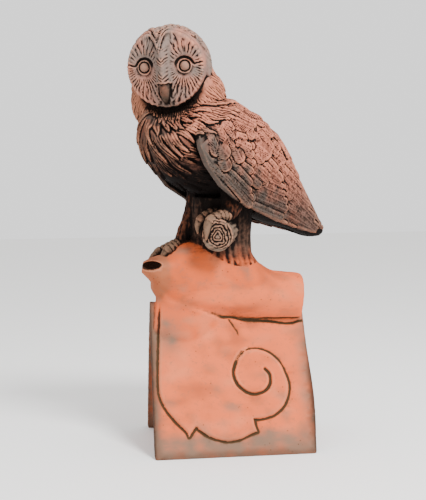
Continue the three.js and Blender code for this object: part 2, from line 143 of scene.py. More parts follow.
def keepShell(name, points, faces, share):
    p = points[faces]
    if np.einsum("ij,ij->i", p[:, 0], np.cross(p[:, 1], p[:, 2])).sum() < 0:
        faces = faces[:, ::-1]  # so that they look outward
    shellFaces.append(faces + sum(len(earlier) for earlier in shellPoints))
    shellPoints.append(points)
    shellZones.append(np.full(len(faces), zone[name]))
    shellRuns.append(share[faces].mean(1))


# Triangles between the rows of a grid whose rows close on themselves
def bands(rows, around):
    i = np.arange(around)
    j = (i + 1) % around
    faces = []
    for a in range(0, (rows - 1) * around, around):
        faces.append(np.stack([a + i, a + j, a + around + i], 1))
        faces.append(np.stack([a + j, a + around + j, a + around + i], 1))
    return faces


# A closed skin over rings of points, with a fan at each end
def addRings(name, rings, place=None):
    rings = np.asarray(rings, float)
    rows, around = rings.shape[:2]
    flat = np.vstack([rings.reshape(-1, 3), rings[0].mean(0), rings[-1].mean(0)])
    if place is not None:
        flat = flat @ place[:3, :3].T + place[:3, 3]
    i = np.arange(around)
    j = (i + 1) % around
    lastRow, firstTip = (rows - 1) * around, rows * around
    faces = bands(rows, around)
    faces.append(np.stack([np.full(around, firstTip), j, i], 1))
    faces.append(np.stack([np.full(around, firstTip + 1), lastRow + i, lastRow + j], 1))
    share = np.append(np.repeat(np.linspace(0, 1, rows), around), [0, 1])
    keepShell(name, flat, np.vstack(faces), share)


def addLimb(name, keys, side, rows, around, place=None):
    t, angle = np.meshgrid(np.linspace(0, 1, rows + 1), turns(around), indexing="ij")
    addRings(name, limbPoints(keys, side, t, angle), place)


# Ridge tile: a thick sheet bent to an A and drawn out along the ridge, open underneath and at both ends
tile = {
    "length": 234, "footHalfSpan": 106, "slopeHeight": 182, "slopeTopHalfSpan": 29, "ridgeRise": 32,
    "wall": 19.5, "edgeRound": 4, "hollowTopHalfWidth": 12, "hollowHeight": 172, "roofOverHollow": 6,
    "endDraw": 2,  # how far both ends lean inward at the top
    "rightSwell": 5, "swellAt": 0.34, "swellWidth": 0.28,  # the right end bows out, at shares of the height
}
foot = tile["footHalfSpan"]
footInside = foot - tile["wall"]
peak = tile["slopeHeight"] + tile["ridgeRise"]
slope = (foot - tile["slopeTopHalfSpan"]) / tile["slopeHeight"]
peakHalfSpan = tile["slopeTopHalfSpan"] - slope * tile["ridgeRise"]
hollowTop, hollowHigh = tile["hollowTopHalfWidth"], tile["hollowHeight"]


# The A's outer and inner line, each from the right foot over the top to the left foot
def tileLines():
    up = np.linspace(0, 1, 40)
    outerRight = np.stack([foot + (peakHalfSpan - foot) * up, peak * up], 1)
    outer = np.vstack([outerRight, (outerRight * [-1, 1])[::-1]])
    innerRight = np.stack([footInside + (hollowTop - footInside) * up, hollowHigh * up], 1)
    arch = np.linspace(0, math.pi, 12)[1:-1]
    top = np.stack([hollowTop * np.cos(arch), hollowHigh + hollowTop * np.sin(arch)], 1)
    inner = np.vstack([innerRight, top, (innerRight * [-1, 1])[::-1]])
    share = np.linspace(0, 1, len(inner))
    outer = np.stack([np.interp(share, np.linspace(0, 1, len(outer)), outer[:, k]) for k in (0, 1)], 1)
    return outer, inner


# Where the A is set along the ridge, and how far its outer line is drawn in by the round of the ends
def tileStations():
    r, half = tile["edgeRound"], 0.5 * tile["length"]
    ends = [(r * (1 - math.sin(a)) - half, r * (1 - math.cos(a))) for a in np.linspace(math.pi / 2, 0, 5)]
    between = [(x, 0.0) for x in np.linspace(r - half, half - r, 60)[1:-1]]
    return ends + between + [(-x, inset) for x, inset in ends[::-1]]


def addTile():
    outer, inner = tileLines()
    rings = []
    for x, inset in tileStations():
        drawn = outer.copy()
        drawn[:, 0] -= np.sign(outer[:, 0]) * inset
        loop = np.vstack([drawn, inner[::-1]])
        height, end = loop[:, 1] / peak, 2 * x / tile["length"]
        swell = max(0, end) * tile["rightSwell"] * bell(height - tile["swellAt"], tile["swellWidth"])
        along = x + swell - end * tile["endDraw"] * height ** 2
        rings.append(np.stack([along, loop[:, 0], loop[:, 1]], 1))
    rings = np.array(rings)
    rows, around = rings.shape[:2]
    flat = rings.reshape(-1, 3)
    k = np.arange(len(outer) - 1)
    faces = bands(rows, around)
    for row, way in ((0, 1), (rows - 1, -1)):  # the two A-shaped end faces
        near, far = row * around + k, row * around + around - 1 - k
        cap = np.vstack([np.stack([near, far, near + 1], 1), np.stack([near + 1, far, far - 1], 1)])
        faces.append(cap[:, ::way])
    keepShell("tile", flat, np.vstack(faces), np.zeros(len(flat)))


addTile()

# Branch along the ridge: the round roll, the mound that carries the feet, a shelf at the front and the
# broken, dished end at the left. The keys of the last four give x as a share of the tile's length from
# its left end, and the rest in radii of the roll: y, the height above the axis at that end, the half
# width and the half depth.
branch = {
    "radius": 42, "leftRadius": 36, "height": 226, "overhang": -3, "endRound": 7,
    "fall": 0.13,  # mm down for each mm to the right
    "mound": [[0.8, 0, -0.5, 0.8, 0.76], [0.6, 0, -0.02, 0.98, 1], [0.35, -0.05, 0.31, 1.05, 1.25],
              [0.188, -0.1, 0.25, 1, 1.2], [0.09, -0.12, 0.37, 0.83, 0.84]],
    "break": [[0.222, -0.05, 0, 1, 1], [0.14, -0.14, 0.22, 0.9, 0.86], [0.06, -0.26, 0.54, 0.76, 0.58],
              [-0.038, -0.24, 0.66, 0.45, 0.2]],
    "shelf": [[0.04, -0.44, -0.72, 0.9, 0.2], [0.134, -0.46, -0.76, 1.2, 0.31],
              [0.288, -0.46, -0.81, 1.15, 0.28], [0.45, -0.4, -0.88, 0.6, 0.12]],
    "dish": [[0.021, -0.66, 0.72, 0.42, 0.17]],
}


def rollAxisHeight(x):
    return branch["height"] - branch["fall"] * x


def rollRings():
    radius, r, across, around = branch["radius"], branch["endRound"], [0, 1, 0], 96
    left = -0.4 * tile["length"]
    right = tile["length"] / 2 + branch["overhang"] - 3 * r
    span = right - left
    stops = [(left, branch["leftRadius"]), (left + 0.3 * span, radius + 2), (left + 0.65 * span, radius),
             (right, radius)]
    keys = [[x, 0, rollAxisHeight(x), girth, girth] for x, girth in stops]
    angle = turns(around)
    rings = [limbPoints(keys, across, np.full(around, t), angle) for t in np.linspace(0, 1, 60)]
    for turn in np.linspace(0, 90, 7) * degrees:  # the rounded right end
        shift = 2 * r + r * math.sin(turn)
        ring = limbPoints(keys, across, np.full(around, 1.0), angle, r * (math.cos(turn) - 1))
        rings.append(ring + [shift, 0, -branch["fall"] * shift])
    rings = np.array(rings)
    rings[..., 2] = np.maximum(rings[..., 2], hollowHigh + hollowTop + tile["roofOverHollow"])
    return rings


def branchKeys(keys):
    r, atLeft = branch["radius"], rollAxisHeight(-tile["length"] / 2)
    return [[(x - 0.5) * tile["length"], y * r, atLeft + rise * r, wide * r, deep * r]
            for x, y, rise, wide, deep in keys]


addRings("roll", rollRings())
addLimb("mound", branchKeys(branch["mound"]), [0, 1, 0], 60, 90)
addLimb("break", branchKeys(branch["break"]), [0, 1, 0], 40, 80)
addLimb("mound", branchKeys(branch["shelf"]), [0, 0.38, 0.92], 40, 60)

# Owl: its keys are in mm of an owl 356 mm high, with x to its tail, y to its left and z up from the perch
owl = {
    "height": 356, "heading": 32, "x": -28, "y": -20, "perchRise": 43, "wingThickness": 11,
    "body": [[-58, 6, 302, 20, 20], [-52, 8, 262, 30, 34], [-41, 7, 236, 46, 60], [-42, 0, 212, 65, 74],
             [-30, 0, 191, 73, 74], [8, 0, 170, 73, 70], [60, 0, 147, 63, 60], [115, 0, 115, 47, 42],
             [165, 0, 86, 32, 24], [202, 0, 62, 24, 14], [224, 0, 50, 16, 8]],
    "tail": [[86, 0, 94, 36, 24], [125, 0, 76, 32, 20], [165, 0, 62, 27, 16], [206, 0, 46, 21, 13],
             [234, 0, 40, 9, 7]],
    # x and z of the wing's line on the back, then x, y and z of its lower edge, and how full it is
    "wing": [[-4, 240, -66, 67, 196, 0.04], [23, 244, -74, 82, 170, 0.05], [42, 236, -62, 82, 145, 0.08],
             [65, 224, -33, 77, 116, 0.2], [99, 199, 5, 67, 95, 0.36], [124, 172, 54, 54, 78, 0.46],
             [147, 140, 110, 42, 61, 0.46], [179, 101, 160, 30, 49, 0.46], [204, 68, 200, 21, 41, 0.46],
             [228, 48, 223, 12, 38, 0.3]],
}
figure = owl["height"] / 356
stand = np.eye(4)
stand[:3, :3] *= figure
stand[:3, 3] = [owl["x"], owl["y"], rollAxisHeight(owl["x"]) + owl["perchRise"]]
facing = stand @ aboutZ(owl["heading"] * degrees)
bodySide = [0, -1, 0]
wingKeys = np.array(owl["wing"])


# Points of a wing: s is the share of its length, turn goes from the back's midline to the lower edge
def wingPoints(s, turn, rise, hand):
    s, turn, rise = np.broadcast_arrays(np.asarray(s, float), np.asarray(turn, float), np.asarray(rise, float))
    place = np.clip(s, 0, 1) * (len(wingKeys) - 1)
    i = np.minimum(place.astype(int), len(wingKeys) - 2)
    w = (place - i)[..., None]
    backX, backZ, edgeX, edgeY, edgeZ, full = np.moveaxis(wingKeys[i] * (1 - w) + wingKeys[i + 1] * w, -1, 0)
    up = np.sign(np.cos(turn)) * np.abs(np.cos(turn)) ** 0.75
    out = np.sign(np.sin(turn)) * np.abs(np.sin(turn)) ** 0.8 + full * np.sin(2 * turn)
    eased = rise - 15 * np.exp(-s / 0.02)  # sunk into the shoulder where it starts
    tuck = 32 * np.maximum(0, 1 - 2 * s) if hand > 0 else 0 * s  # keeps the far wing out of sight
    return np.stack([edgeX + tuck + (backX - edgeX - tuck) * up, hand * (edgeY * out + eased * np.sin(turn)),
                     edgeZ + (backZ - edgeZ) * up + eased * np.cos(turn)], -1)


def wingRings(hand):
    outerTurn = np.linspace(-6, 90, 64) * degrees
    innerTurn = np.linspace(90, 0, 24) * degrees
    rings = []
    for s in np.linspace(0, 1, 150):
        edge = np.interp(s, np.linspace(0, 1, len(wingKeys)), wingKeys[:, 3])
        thick = min(owl["wingThickness"], 0.95 * edge)
        rings.append(np.vstack([wingPoints(s, outerTurn, 0, hand), wingPoints(s, innerTurn, -thick, hand)]))
    return rings


addLimb("body", owl["body"], bodySide, 150, 110, facing)
addLimb("tail", owl["tail"], bodySide, 60, 60, facing)
addRings("nearWing", wingRings(-1), facing)
addRings("farWing", wingRings(1), facing)

# Head: a flat heart of a face on an egg, turned and nodded toward the front slope. In its own frame x
# goes across the face, y up it and z out of it.
head = {
    "turn": 18, "nod": 8, "tilt": 0.6, "place": [-55, -34.2, 288], "half": [58.5, 57, 56], "ruff": 2.2,
    "faceRadius": 54, "faceBack": 30, "faceDome": 12, "notchDepth": 29, "notchAt": 99, "notchWidth": 9,
    "chinDrop": 5, "cheekWidth": 1.5,
    "dishes": [[9, 27, 16, 3, 18], [4, 20, 14, -26, 15]],  # depth, then middle and half size across and up
    "eyeSide": 29, "eyeUp": 1, "eyeRadius": 8.5, "eyeSunk": 2,
    "bill": [[0, -17, 34, 8, 8], [0, -27, 39, 7.5, 8], [0, -37, 39, 6.5, 7], [0, -49, 33, 3, 3.5]],
    "nape": [[-53, -20, 300, 53, 42], [-48, -18, 262, 63, 48], [-40, -16, 235, 66, 52], [-34, -18, 196, 50, 46]],
    "chinClear": 17,  # the neck keeps this far out at most below the face
}
headTurn, headNod = head["turn"] * degrees, head["nod"] * degrees
outward = np.array([-math.sin(headTurn) * math.cos(headNod), -math.cos(headTurn) * math.cos(headNod),
                    -math.sin(headNod)])
rightward = np.array([math.cos(headTurn), -math.sin(headTurn), 0])
headFrame = np.eye(4)
headFrame[:3, :3] = np.stack([rightward, np.cross(outward, rightward), outward], 1)
headFrame = headFrame @ aboutZ(head["tilt"] * degrees)
headFrame[:3, 3] = head["place"]
headFrame = stand @ headFrame


# The heart's outline, as mm from its middle: the notch between the brows and the long chin
def faceRim(angle):
    turned = (angle / degrees + 180) % 360 - 180
    return (head["faceRadius"] - head["notchDepth"] * bell(turned - head["notchAt"], head["notchWidth"])
            + head["cheekWidth"] * np.cos(2 * angle) + head["chinDrop"] * bell(turned + 90, 50))


def faceHeight(x, y):
    out = np.hypot(x, y)
    height = head["faceBack"] + head["faceDome"] * (1 - (out / head["faceRadius"]) ** 2)
    for depth, acrossAt, wide, upAt, tall in head["dishes"]:
        height = height - depth * np.exp(-((np.abs(x) - acrossAt) / wide) ** 2 - ((y - upAt) / tall) ** 2)
    billRidge = 10 * bell(x, 9) * bell(np.maximum(0, y - 12), 26) * bell(np.minimum(0, y + 20), 4)
    return height + billRidge


def headRings():
    angle = turns(150)
    rings = []
    for share in np.linspace(0.02, 0.95, 46):
        out = faceRim(angle) * share
        x, y = out * np.cos(angle), out * np.sin(angle)
        rings.append(np.stack([x, y, faceHeight(x, y)], 1))
    halfX, halfY, halfZ = head["half"]
    girth = np.hypot(halfX * np.cos(angle), halfY * np.sin(angle))
    start = np.arcsin(np.minimum(0.93, faceRim(angle) / girth))
    for at in np.linspace(0, 7, 64):
        turn = start + (math.pi - 0.12 - start) * at / 7
        ruff = head["ruff"] * (1.3 * bell(at, 0.45) + bell(at - 1.5, 0.5))  # two rolls round the face
        rings.append(np.stack([(halfX + ruff) * np.sin(turn) * np.cos(angle),
                               (halfY + ruff) * np.sin(turn) * np.sin(angle), halfZ * np.cos(turn) + ruff], 1))
    return rings


def ballRings(centre, radius):
    angle = turns(40)
    rings = []
    for t in np.linspace(0.08, math.pi - 0.08, 24):
        girth = radius * math.sin(t)
        rings.append(np.stack([centre[0] + girth * np.cos(angle), centre[1] + girth * np.sin(angle),
                               np.full(len(angle), centre[2] + radius * math.cos(t))], 1))
    return rings


addRings("head", headRings(), headFrame)
for hand in (-1, 1):
    eyeX, eyeY = hand * head["eyeSide"], head["eyeUp"]
    middle = [eyeX, eyeY, float(faceHeight(eyeX, eyeY)) - head["eyeSunk"]]
    addRings("eye", ballRings(middle, head["eyeRadius"]), headFrame)
addLimb("bill", head["bill"], [1, 0, 0], 30, 30, headFrame)
addLimb("nape", head["nape"], rightward, 70, 90, stand)

# Perch: the trunk, its cut stub, and the legs, toes and claws that grip it
perch = {
    "trunk": [[26, 18, -46, 70, 38], [24, 17, -14, 58, 36], [22, 16, 18, 46, 33], [22, 15, 50, 46, 33],
              [24, 12, 100, 46, 42]],
    "stub": [[28, 10, 52, 24, 26], [14, -34, 47, 20.5, 22.5], [9, -52, 44, 21, 24], [8, -58, 43, 22, 25]],
    "leftLeg": [[-8, 20, 112, 20, 20], [-18, 23, 78, 14, 15], [-33, 20, 46, 11, 12], [-40, 16, 30, 10, 11]],
    "rightLeg": [[38, -24, 108, 20, 18], [30, -32, 82, 15, 15], [16, -38, 72, 10, 10]],
    "toes": [[[-38, 16, 31], [-51, 8, 25], [-63, 4, 17], [-72, 4, 0]],
             [[-38, 20, 31], [-58, 30, 22], [-76, 31, 13], [-90, 28, 0]],
             [[26, -38, 74], [12, -48, 72], [-5, -56, 62], [-9, -59, 38]],
             [[22, -30, 76], [0, -32, 74], [-16, -34, 62], [-18, -36, 46]]],
    "toeGirths": [9, 8, 6.5, 1.8],
    "ring": 0.85, "crack": 0.9, "cutRim": 0.8, "bark": 1.1, "grain": 0.6, "scute": 1.3, "clawFold": 1.2,
}
addLimb("trunk", perch["trunk"], [1, 0, 0], 50, 90, stand)
addLimb("stub", perch["stub"], [1, 0, 0], 30, 60, stand)
addLimb("leg", perch["leftLeg"], [1, 0, 0], 40, 40, stand)
addLimb("leg", perch["rightLeg"], [1, 0, 0], 30, 40, stand)
for places in perch["toes"]:
    toeKeys = [[*place, girth, girth] for place, girth in zip(places, perch["toeGirths"])]
    addLimb("toe", toeKeys, [0.3, 1, 0.2], 30, 24, stand)
sourcePoints = np.vstack(shellPoints)
sourceFaces = np.vstack(shellFaces)
print("shells:", len(sourcePoints), "points")


def toHead(points):
    return (points - headFrame[:3, 3]) @ np.linalg.inv(headFrame[:3, :3]).T


# The neck and breast keep behind the face, so that the chin stands free over them
pointZones = np.concatenate([np.full(len(p), z[0]) for p, z in zip(shellPoints, shellZones)])
inHead = toHead(sourcePoints)
beyond = np.hypot(inHead[:, 0], inHead[:, 1]) - faceRim(np.arctan2(inHead[:, 1], inHead[:, 0]))
limit = head["chinClear"] + 1.4 * np.maximum(0, beyond - 5)
held = np.isin(pointZones, [zone["nape"], zone["body"]]) & (inHead[:, 2] > limit)
inHead[:, 2] = np.where(held, limit, inHead[:, 2])
sourcePoints = inHead @ headFrame[:3, :3].T + headFrame[:3, 3]


# One skin over all the shells
def meshFrom(name, points, faces):
    mesh = bpy.data.meshes.new(name)
    mesh.vertices.add(len(points))
    mesh.vertices.foreach_set("co", np.asarray(points, np.float32).ravel())
    mesh.loops.add(len(faces) * 3)
    mesh.loops.foreach_set("vertex_index", np.asarray(faces, np.int32).ravel())
    mesh.polygons.add(len(faces))
    mesh.polygons.foreach_set("loop_start", np.arange(0, len(faces) * 3, 3, dtype=np.int32))
    mesh.update(calc_edges=True)
    mesh.validate()
    return mesh


def vectors(mesh, key):
    out = np.empty(len(mesh.vertices) * 3, np.float32)
    mesh.vertices.foreach_get(key, out)
    return out.reshape(-1, 3)


def pairsOf(mesh):
    out = np.empty(len(mesh.edges) * 2, np.int32)
    mesh.edges.foreach_get("vertices", out)
    return out.reshape(-1, 2)


source = bpy.data.objects.new("source", meshFrom("source", sourcePoints, sourceFaces))
bpy.context.scene.collection.objects.link(source)
remesh = source.modifiers.new("skin", "REMESH")
remesh.mode = "VOXEL"
remesh.voxel_size = surface["voxel"]
remesh.adaptivity = 0
skin = bpy.data.meshes.new_from_object(source.evaluated_get(bpy.context.evaluated_depsgraph_get()))
bpy.data.objects.remove(source)
count = len(skin.vertices)
edges = pairsOf(skin)
neighbours = np.bincount(edges.ravel(), minlength=count).astype(float)
print("skin:", count, "points")


# For each point, the sum over the points that it shares an edge with
def neighbourSum(values, pairs, size):
    return (np.bincount(pairs[:, 0], values[pairs[:, 1]], size)
            + np.bincount(pairs[:, 1], values[pairs[:, 0]], size))


def neighbourMean(values):
    if values.ndim == 1:
        return neighbourSum(values, edges, count) / neighbours
    return np.stack([neighbourMean(values[:, k]) for k in range(values.shape[1])], 1)


def smooth(values, times, pull=0.5):
    for _ in range(times):
        values = values + pull * (neighbourMean(values) - values)
    return values


# Smooths only where the weight is above nothing, so that wide fillets cost little
def smoothPart(values, weight, times):
    busy = weight > 0.01
    local = edges[busy[edges[:, 0]] | busy[edges[:, 1]]]
    used, flat = np.unique(local.ravel(), return_inverse=True)
    local = flat.reshape(-1, 2)
    near = np.bincount(flat.ravel(), minlength=len(used)).astype(float)
    part, pull = values[used], (weight[used] * 0.6)[:, None]
    for _ in range(times):
        total = np.stack([neighbourSum(part[:, k], local, len(used)) for k in range(3)], 1)
        part = part + pull * (total / near[:, None] - part)
    values = values.copy()
    values[used] = part
    return values


def writePoints(points):
    skin.vertices.foreach_set("co", points.astype(np.float32).ravel())
    skin.update()


# Each point's zone and its share of the way along its shell, from the nearest face of the shells
points = vectors(skin, "co").astype(float)
tree = BVHTree.FromPolygons([tuple(p) for p in sourcePoints], [tuple(f) for f in sourceFaces])
nearest = np.array([tree.find_nearest(p)[2] for p in points])
where = np.concatenate(shellZones)[nearest]
share = np.concatenate(shellRuns)[nearest]


def inZones(*names):
    return np.isin(where, [zone[name] for name in names])


def chosenIn(*names):
    return np.nonzero(inZones(*names))[0]


def owlHeight():
    return (points[:, 2] - stand[2, 3]) / figure


clayGround = ("tile", "roll", "mound", "break")
wings = ("nearWing", "farWing")

# Wide fillets where the branch joins the tile and the trunk, and then at the shoulders
points = smooth(points, 3)
x, y, high = points.T
leftJoin = step(12 - x, 0, 26) * step(x, -112, -100) * step(high, 120, 150) * (1 - step(high, 246, 262))
trunkJoin = step(high, 218, 236) * (1 - step(high, 282, 306)) * step(x, -98, -84) * (1 - step(x, 82, 96))
joins = np.maximum(leftJoin, trunkJoin) * inZones(*clayGround, "trunk", "stub")
points = smoothPart(points, joins, 110)
shoulder = step(owlHeight(), 196, 222) * (1 - step(owlHeight(), 262, 285))
shoulder *= np.where(inZones(*wings), 1 - step(share, 0.1, 0.22), 1) * inZones("body", "nape", *wings)
points = smoothPart(points, shoulder, 70)
writePoints(points)
normals = vectors(skin, "normal").astype(float)
softNormals = unit(smooth(normals, 6))
headPoints = toHead(points)
relief = np.zeros(count)
print("zones laid")

# Feathers: sizes in mm. Rise is how far a tip stands out, lift what one layer adds to the next
plumage = {
    "rise": 3.1, "lift": 0.9, "gap": 1.5, "quill": 0.35, "barbDepth": 0.26, "barbSpacing": 3.1,
    "plainRise": 2.8, "tuftRise": 3.6, "neckRise": 4.68, "crownRise": 2.07, "tailRise": 1.6,
    "strandDepth": 0.5, "strandTurn": 1.55,  # radians to the mm, so a strand every 4 mm
    "listedWidth": 1.12,  # the listed feathers overlap by this much
    "overShoulder": 150,  # so many of the last breast locks also lie over the tops of the wings
}
# Tip is how long the round end is in half widths, lean the tilt to one side, edge and soft how far and
# how softly the edge drops, gap and gapWidth the dark line just past it
kinds = {
    "vane": {"tip": 1.1, "lean": 0.9, "edge": 1.1, "soft": 1.2, "gap": 1, "gapWidth": 1.35},
    "plain": {"tip": 1.1, "lean": 0.3, "edge": 1.1, "soft": 1.2, "gap": 1, "gapWidth": 1.35},
    "scale": {"tip": 0.9, "lean": 0.3, "edge": 1.1, "soft": 1.2, "gap": 1, "gapWidth": 1.35},
    "tuft": {"lean": 0.3, "edge": 0.5, "soft": 0.8, "gap": 0.6, "gapWidth": 1.7},
}


def feather(kind, root, way, normal, length, width, rise, layer=0.0, bend=0.0):
    return {"kind": kind, "root": root, "way": way, "normal": normal, "length": length, "half": width / 2,
            "rise": rise, "layer": layer, "bend": bend}


# The height of the feathers over the chosen points, each laid over the ones before it
def layFeathers(chosen, feathers, seed):
    rng = np.random.default_rng(seed)
    p, n = points[chosen], softNormals[chosen]
    height = np.zeros(len(p))
    for f in feathers:
        kind, tuft = kinds[f["kind"]], f["kind"] == "tuft"
        length, half = f["length"], f["half"]
        middle = f["root"] + f["way"] * length / 2
        reach = length / 2 + half + 4
        near = np.nonzero(((p - middle) ** 2).sum(1) < reach * reach)[0]
        chance = rng.uniform(-1, 1)
        if not len(near):
            continue
        side = np.cross(f["normal"], f["way"])
        d = p[near] - f["root"]
        a = d @ f["way"] / length  # share along the feather
        c = d @ side / half - f["bend"] * a * a  # share across it
        off = np.abs(d @ f["normal"])
        keep = (n[near] @ f["normal"] > 0.2) & (off < 0.5 * length + 6) & (a > -0.05) & (a < 1.3)
        near, a, c = near[keep], a[keep], c[keep]
        if tuft:
            c = c + 0.18 * np.sin(a * 7 + chance * 3)
            width = np.clip(1 - a, 0, 1) ** 0.55 * np.clip(0.55 + 2 * a, 0, 1)
            far = (width - np.abs(c)) * half  # mm inside the outline
        else:
            cap = min(0.9, kind["tip"] * half / length)
            e = np.maximum(0, (a - (1 - cap)) / cap)
            far = (1 - (np.abs(c) ** 2.4 + e ** 2.4) ** (1 / 2.4)) * half
        fade = step(a, 0.0, 0.3)
        top = (f["layer"] * plumage["lift"] + f["rise"] * a) * fade + kind["lean"] * c * fade - 0.08 * half * c * c
        top = top - kind["edge"] * np.exp(-np.maximum(far, 0) / kind["soft"])
        if tuft:
            top = top + plumage["strandDepth"] * np.sin(c * half * plumage["strandTurn"] + 2 * chance) * fade
        else:
            mm = a * length + 0.8 * np.abs(c) * half
            top = top + plumage["quill"] * bell(c, 0.12) * fade
            barbs = np.sin(mm / plumage["barbSpacing"] * 2 * math.pi)
            top = top + plumage["barbDepth"] * barbs * step(np.abs(c), 0.05, 0.25)
        inside = far > 0
        win = inside & (top > height[near])
        height[near[win]] = top[win]
        past = (~inside) & (far > -2.4 * kind["gapWidth"]) & (a > 0.3) & (top > height[near] + 0.2)
        height[near[past]] -= plumage["gap"] * kind["gap"] * bell(far[past] + 0.6, kind["gapWidth"])
    return height


# A spot on the owl, two ways along its skin and its normal, all in the tile's frame
def owlFrame(at, first, second, inside):
    n = unit(np.cross(first, second))
    if n @ (at - inside) < 0:
        n = -n
    r = facing[:3, :3]
    return r @ at + facing[:3, 3], unit(r @ first), unit(r @ second), unit(r @ n)


def wingFrame(s, turn, hand):
    e, turn = 1e-3, turn * degrees
    along = wingPoints(s + e, turn, 0, hand) - wingPoints(s - e, turn, 0, hand)
    around = wingPoints(s, turn + e, 0, hand) - wingPoints(s, turn - e, 0, hand)
    return owlFrame(wingPoints(s, turn, 0, hand), along, around, [60, 0, 120])


def bodyFrame(t, angle):
    e, keys = 1e-3, owl["body"]
    along = limbPoints(keys, bodySide, t + e, angle) - limbPoints(keys, bodySide, t - e, angle)
    around = limbPoints(keys, bodySide, t, angle + e) - limbPoints(keys, bodySide, t, angle - e)
    return owlFrame(limbPoints(keys, bodySide, t, angle), along, around, run(keys, t)[0, :3])


# The near wing's feathers as they lie: root and tip as shares of the wing's length and degrees from
# the back's midline to the lower edge, then width; the lowest layer first
wingFeathers = [
    (0, [[0.553, 43, 1.0, 60, 18.9], [0.657, 86, 0.94, 90, 13.2], [0.655, 81, 0.91, 90, 12.6],
         [0.631, 75, 0.9, 81, 12.3], [0.573, 69, 0.85, 68, 12.3], [0.551, 67, 0.77, 59, 10.4],
         [0.467, 64, 0.74, 57, 10.4], [0.423, 62, 0.70, 50, 10.4], [0.423, 57, 0.667, 39, 9.4]]),
    (0, [[0.44, 90, 0.667, 89, 14.1], [0.45, 87, 0.665, 83, 14.1], [0.44, 84, 0.645, 79, 14.5],
         [0.45, 81, 0.613, 75, 12.6], [0.46, 76, 0.583, 71, 9.4]]),
    (1, [[0.188, 90, 0.507, 90, 11.0], [0.279, 88, 0.49, 88, 9.7], [0.29, 86, 0.46, 86, 9.7],
         [0.3, 82, 0.44, 83, 10.4], [0.32, 79, 0.405, 78, 10]]),
    (1, [[0.46, 69, 0.551, 69, 15.7], [0.39, 81, 0.481, 81, 12], [0.385, 77, 0.489, 77, 12.6],
         [0.38, 74, 0.487, 74, 12.4], [0.4, 69, 0.475, 70, 11.3], [0.41, 65, 0.499, 66, 11.0],
         [0.33, 74, 0.391, 74, 9.7], [0.35, 67, 0.415, 69, 13.9]]),
    (2, [[0.407, 39, 0.523, 47, 9.0], [0.379, 37, 0.507, 46, 8.7], [0.325, 62, 0.425, 62, 22],
         [0.299, 50, 0.419, 57, 12.7], [0.331, 44, 0.397, 45, 10.7], [0.261, 42, 0.375, 37, 12.6]]),
    (2, [[0.234, 84, 0.305, 86, 18], [0.259, 75, 0.333, 78, 17], [0.3, 71, 0.36, 71, 11.4],
         [0.17, 83, 0.263, 82, 19], [0.226, 73, 0.333, 68, 12.6], [0.246, 62, 0.315, 60, 11.0],
         [0.206, 70, 0.283, 65, 11.0]]),
    (2, [[0.178, 40, 0.335, 33, 14.1], [0.118, 63, 0.289, 55, 14.9], [0.122, 55, 0.295, 49, 12.6]]),
]


def wingSet(hand):
    out = []
    rng = np.random.default_rng(surface["seed"] + hand)
    for s in np.arange(0.86, 0.02, -0.055):  # plain rows over the whole wing, under the listed feathers
        outer = s > 0.35
        for turn in np.arange(0, 88, 9.5 if outer else 8.0):
            stagger = 4 if int(s * 40) % 2 else 0
            at, along, around, n = wingFrame(s, turn + rng.uniform(-1.5, 1.5) + stagger, hand)
            length = (36 if outer else 27) + rng.uniform(-2, 2)
            way = unit(along + around * rng.uniform(-0.1, 0.1))
            out.append(feather("plain", at, way, n, length, 13 if outer else 12, plumage["plainRise"]))
    for layer, rows in wingFeathers:
        for s0, turn0, s1, turn1, width in rows:
            at, _, _, n0 = wingFrame(s0, turn0, hand)
            tip, _, _, n1 = wingFrame(s1, turn1, hand)
            way, normal = tip - at, unit(n0 + n1)
            length = np.linalg.norm(way)
            way = unit(way - (way @ normal) * normal)
            kind = "scale" if width > 16 and layer == 2 else "vane"
            out.append(feather(kind, at, way, normal, length, width * plumage["listedWidth"], plumage["rise"],
                               layer + 0.6))
    return out


# Ragged locks in rows down the breast and belly, swept back over the flanks
def bodySet():
    out = []
    rng = np.random.default_rng(surface["seed"] + 5)
    for row, t in enumerate(np.arange(0.72, -0.02, -0.074)):
        for turn in np.arange(20 + 4.5 * (row % 2), 341, 9):
            angle = (turn + rng.uniform(-2, 2)) * degrees
            at, along, around, n = bodyFrame(t + rng.uniform(-0.008, 0.008), angle)
            hand = 1 if turn < 180 else -1
            flank = 1 - abs(abs(turn - 180) - 90) / 90
            sweep = (4 + 50 * max(0, flank)) * degrees
            way = unit(along * math.cos(sweep) - around * hand * math.sin(sweep))
            out.append(feather("tuft", at, way, n, rng.uniform(38, 50), rng.uniform(12, 16), plumage["tuftRise"],
                               0.3, hand * rng.uniform(0.5, 1.4)))
    return out


def tailSet():
    out = []
    r, keys = facing[:3, :3], owl["tail"]
    for angle in (150, 210, 120, 240, 90, 270, 60, 300, 30, 330, 0):
        for t in (0.35, 0.05):
            at = limbPoints(keys, bodySide, t, angle * degrees)
            tip = limbPoints(keys, bodySide, min(t + 0.6, 0.98), angle * degrees)
            n = r @ unit(at - run(keys, t)[0, :3])
            way = r @ (tip - at)
            out.append(feather("vane", r @ at + facing[:3, 3], unit(way), n, np.linalg.norm(way), 14,
                               plumage["tailRise"], 0.2))
    return out


# Small feathers scattered evenly over a patch, all pointing away from one spot, the farthest laid first
def patchSet(chosen, centre, spacing, length, width, rise, seed, kind):
    rng = np.random.default_rng(seed)
    p, n = points[chosen], softNormals[chosen]
    cells, out = set(), []
    for i in rng.permutation(len(p)):
        cell = tuple(np.floor(p[i] / spacing).astype(int))
        if cell in cells:
            continue
        cells.add(cell)
        way = p[i] - centre
        far = np.linalg.norm(way)
        way = way - (way @ n[i]) * n[i]
        out.append((far, feather(kind, p[i], unit(way), n[i], length, width, rise)))
    return [f for _, f in sorted(out, key=lambda item: -item[0])]


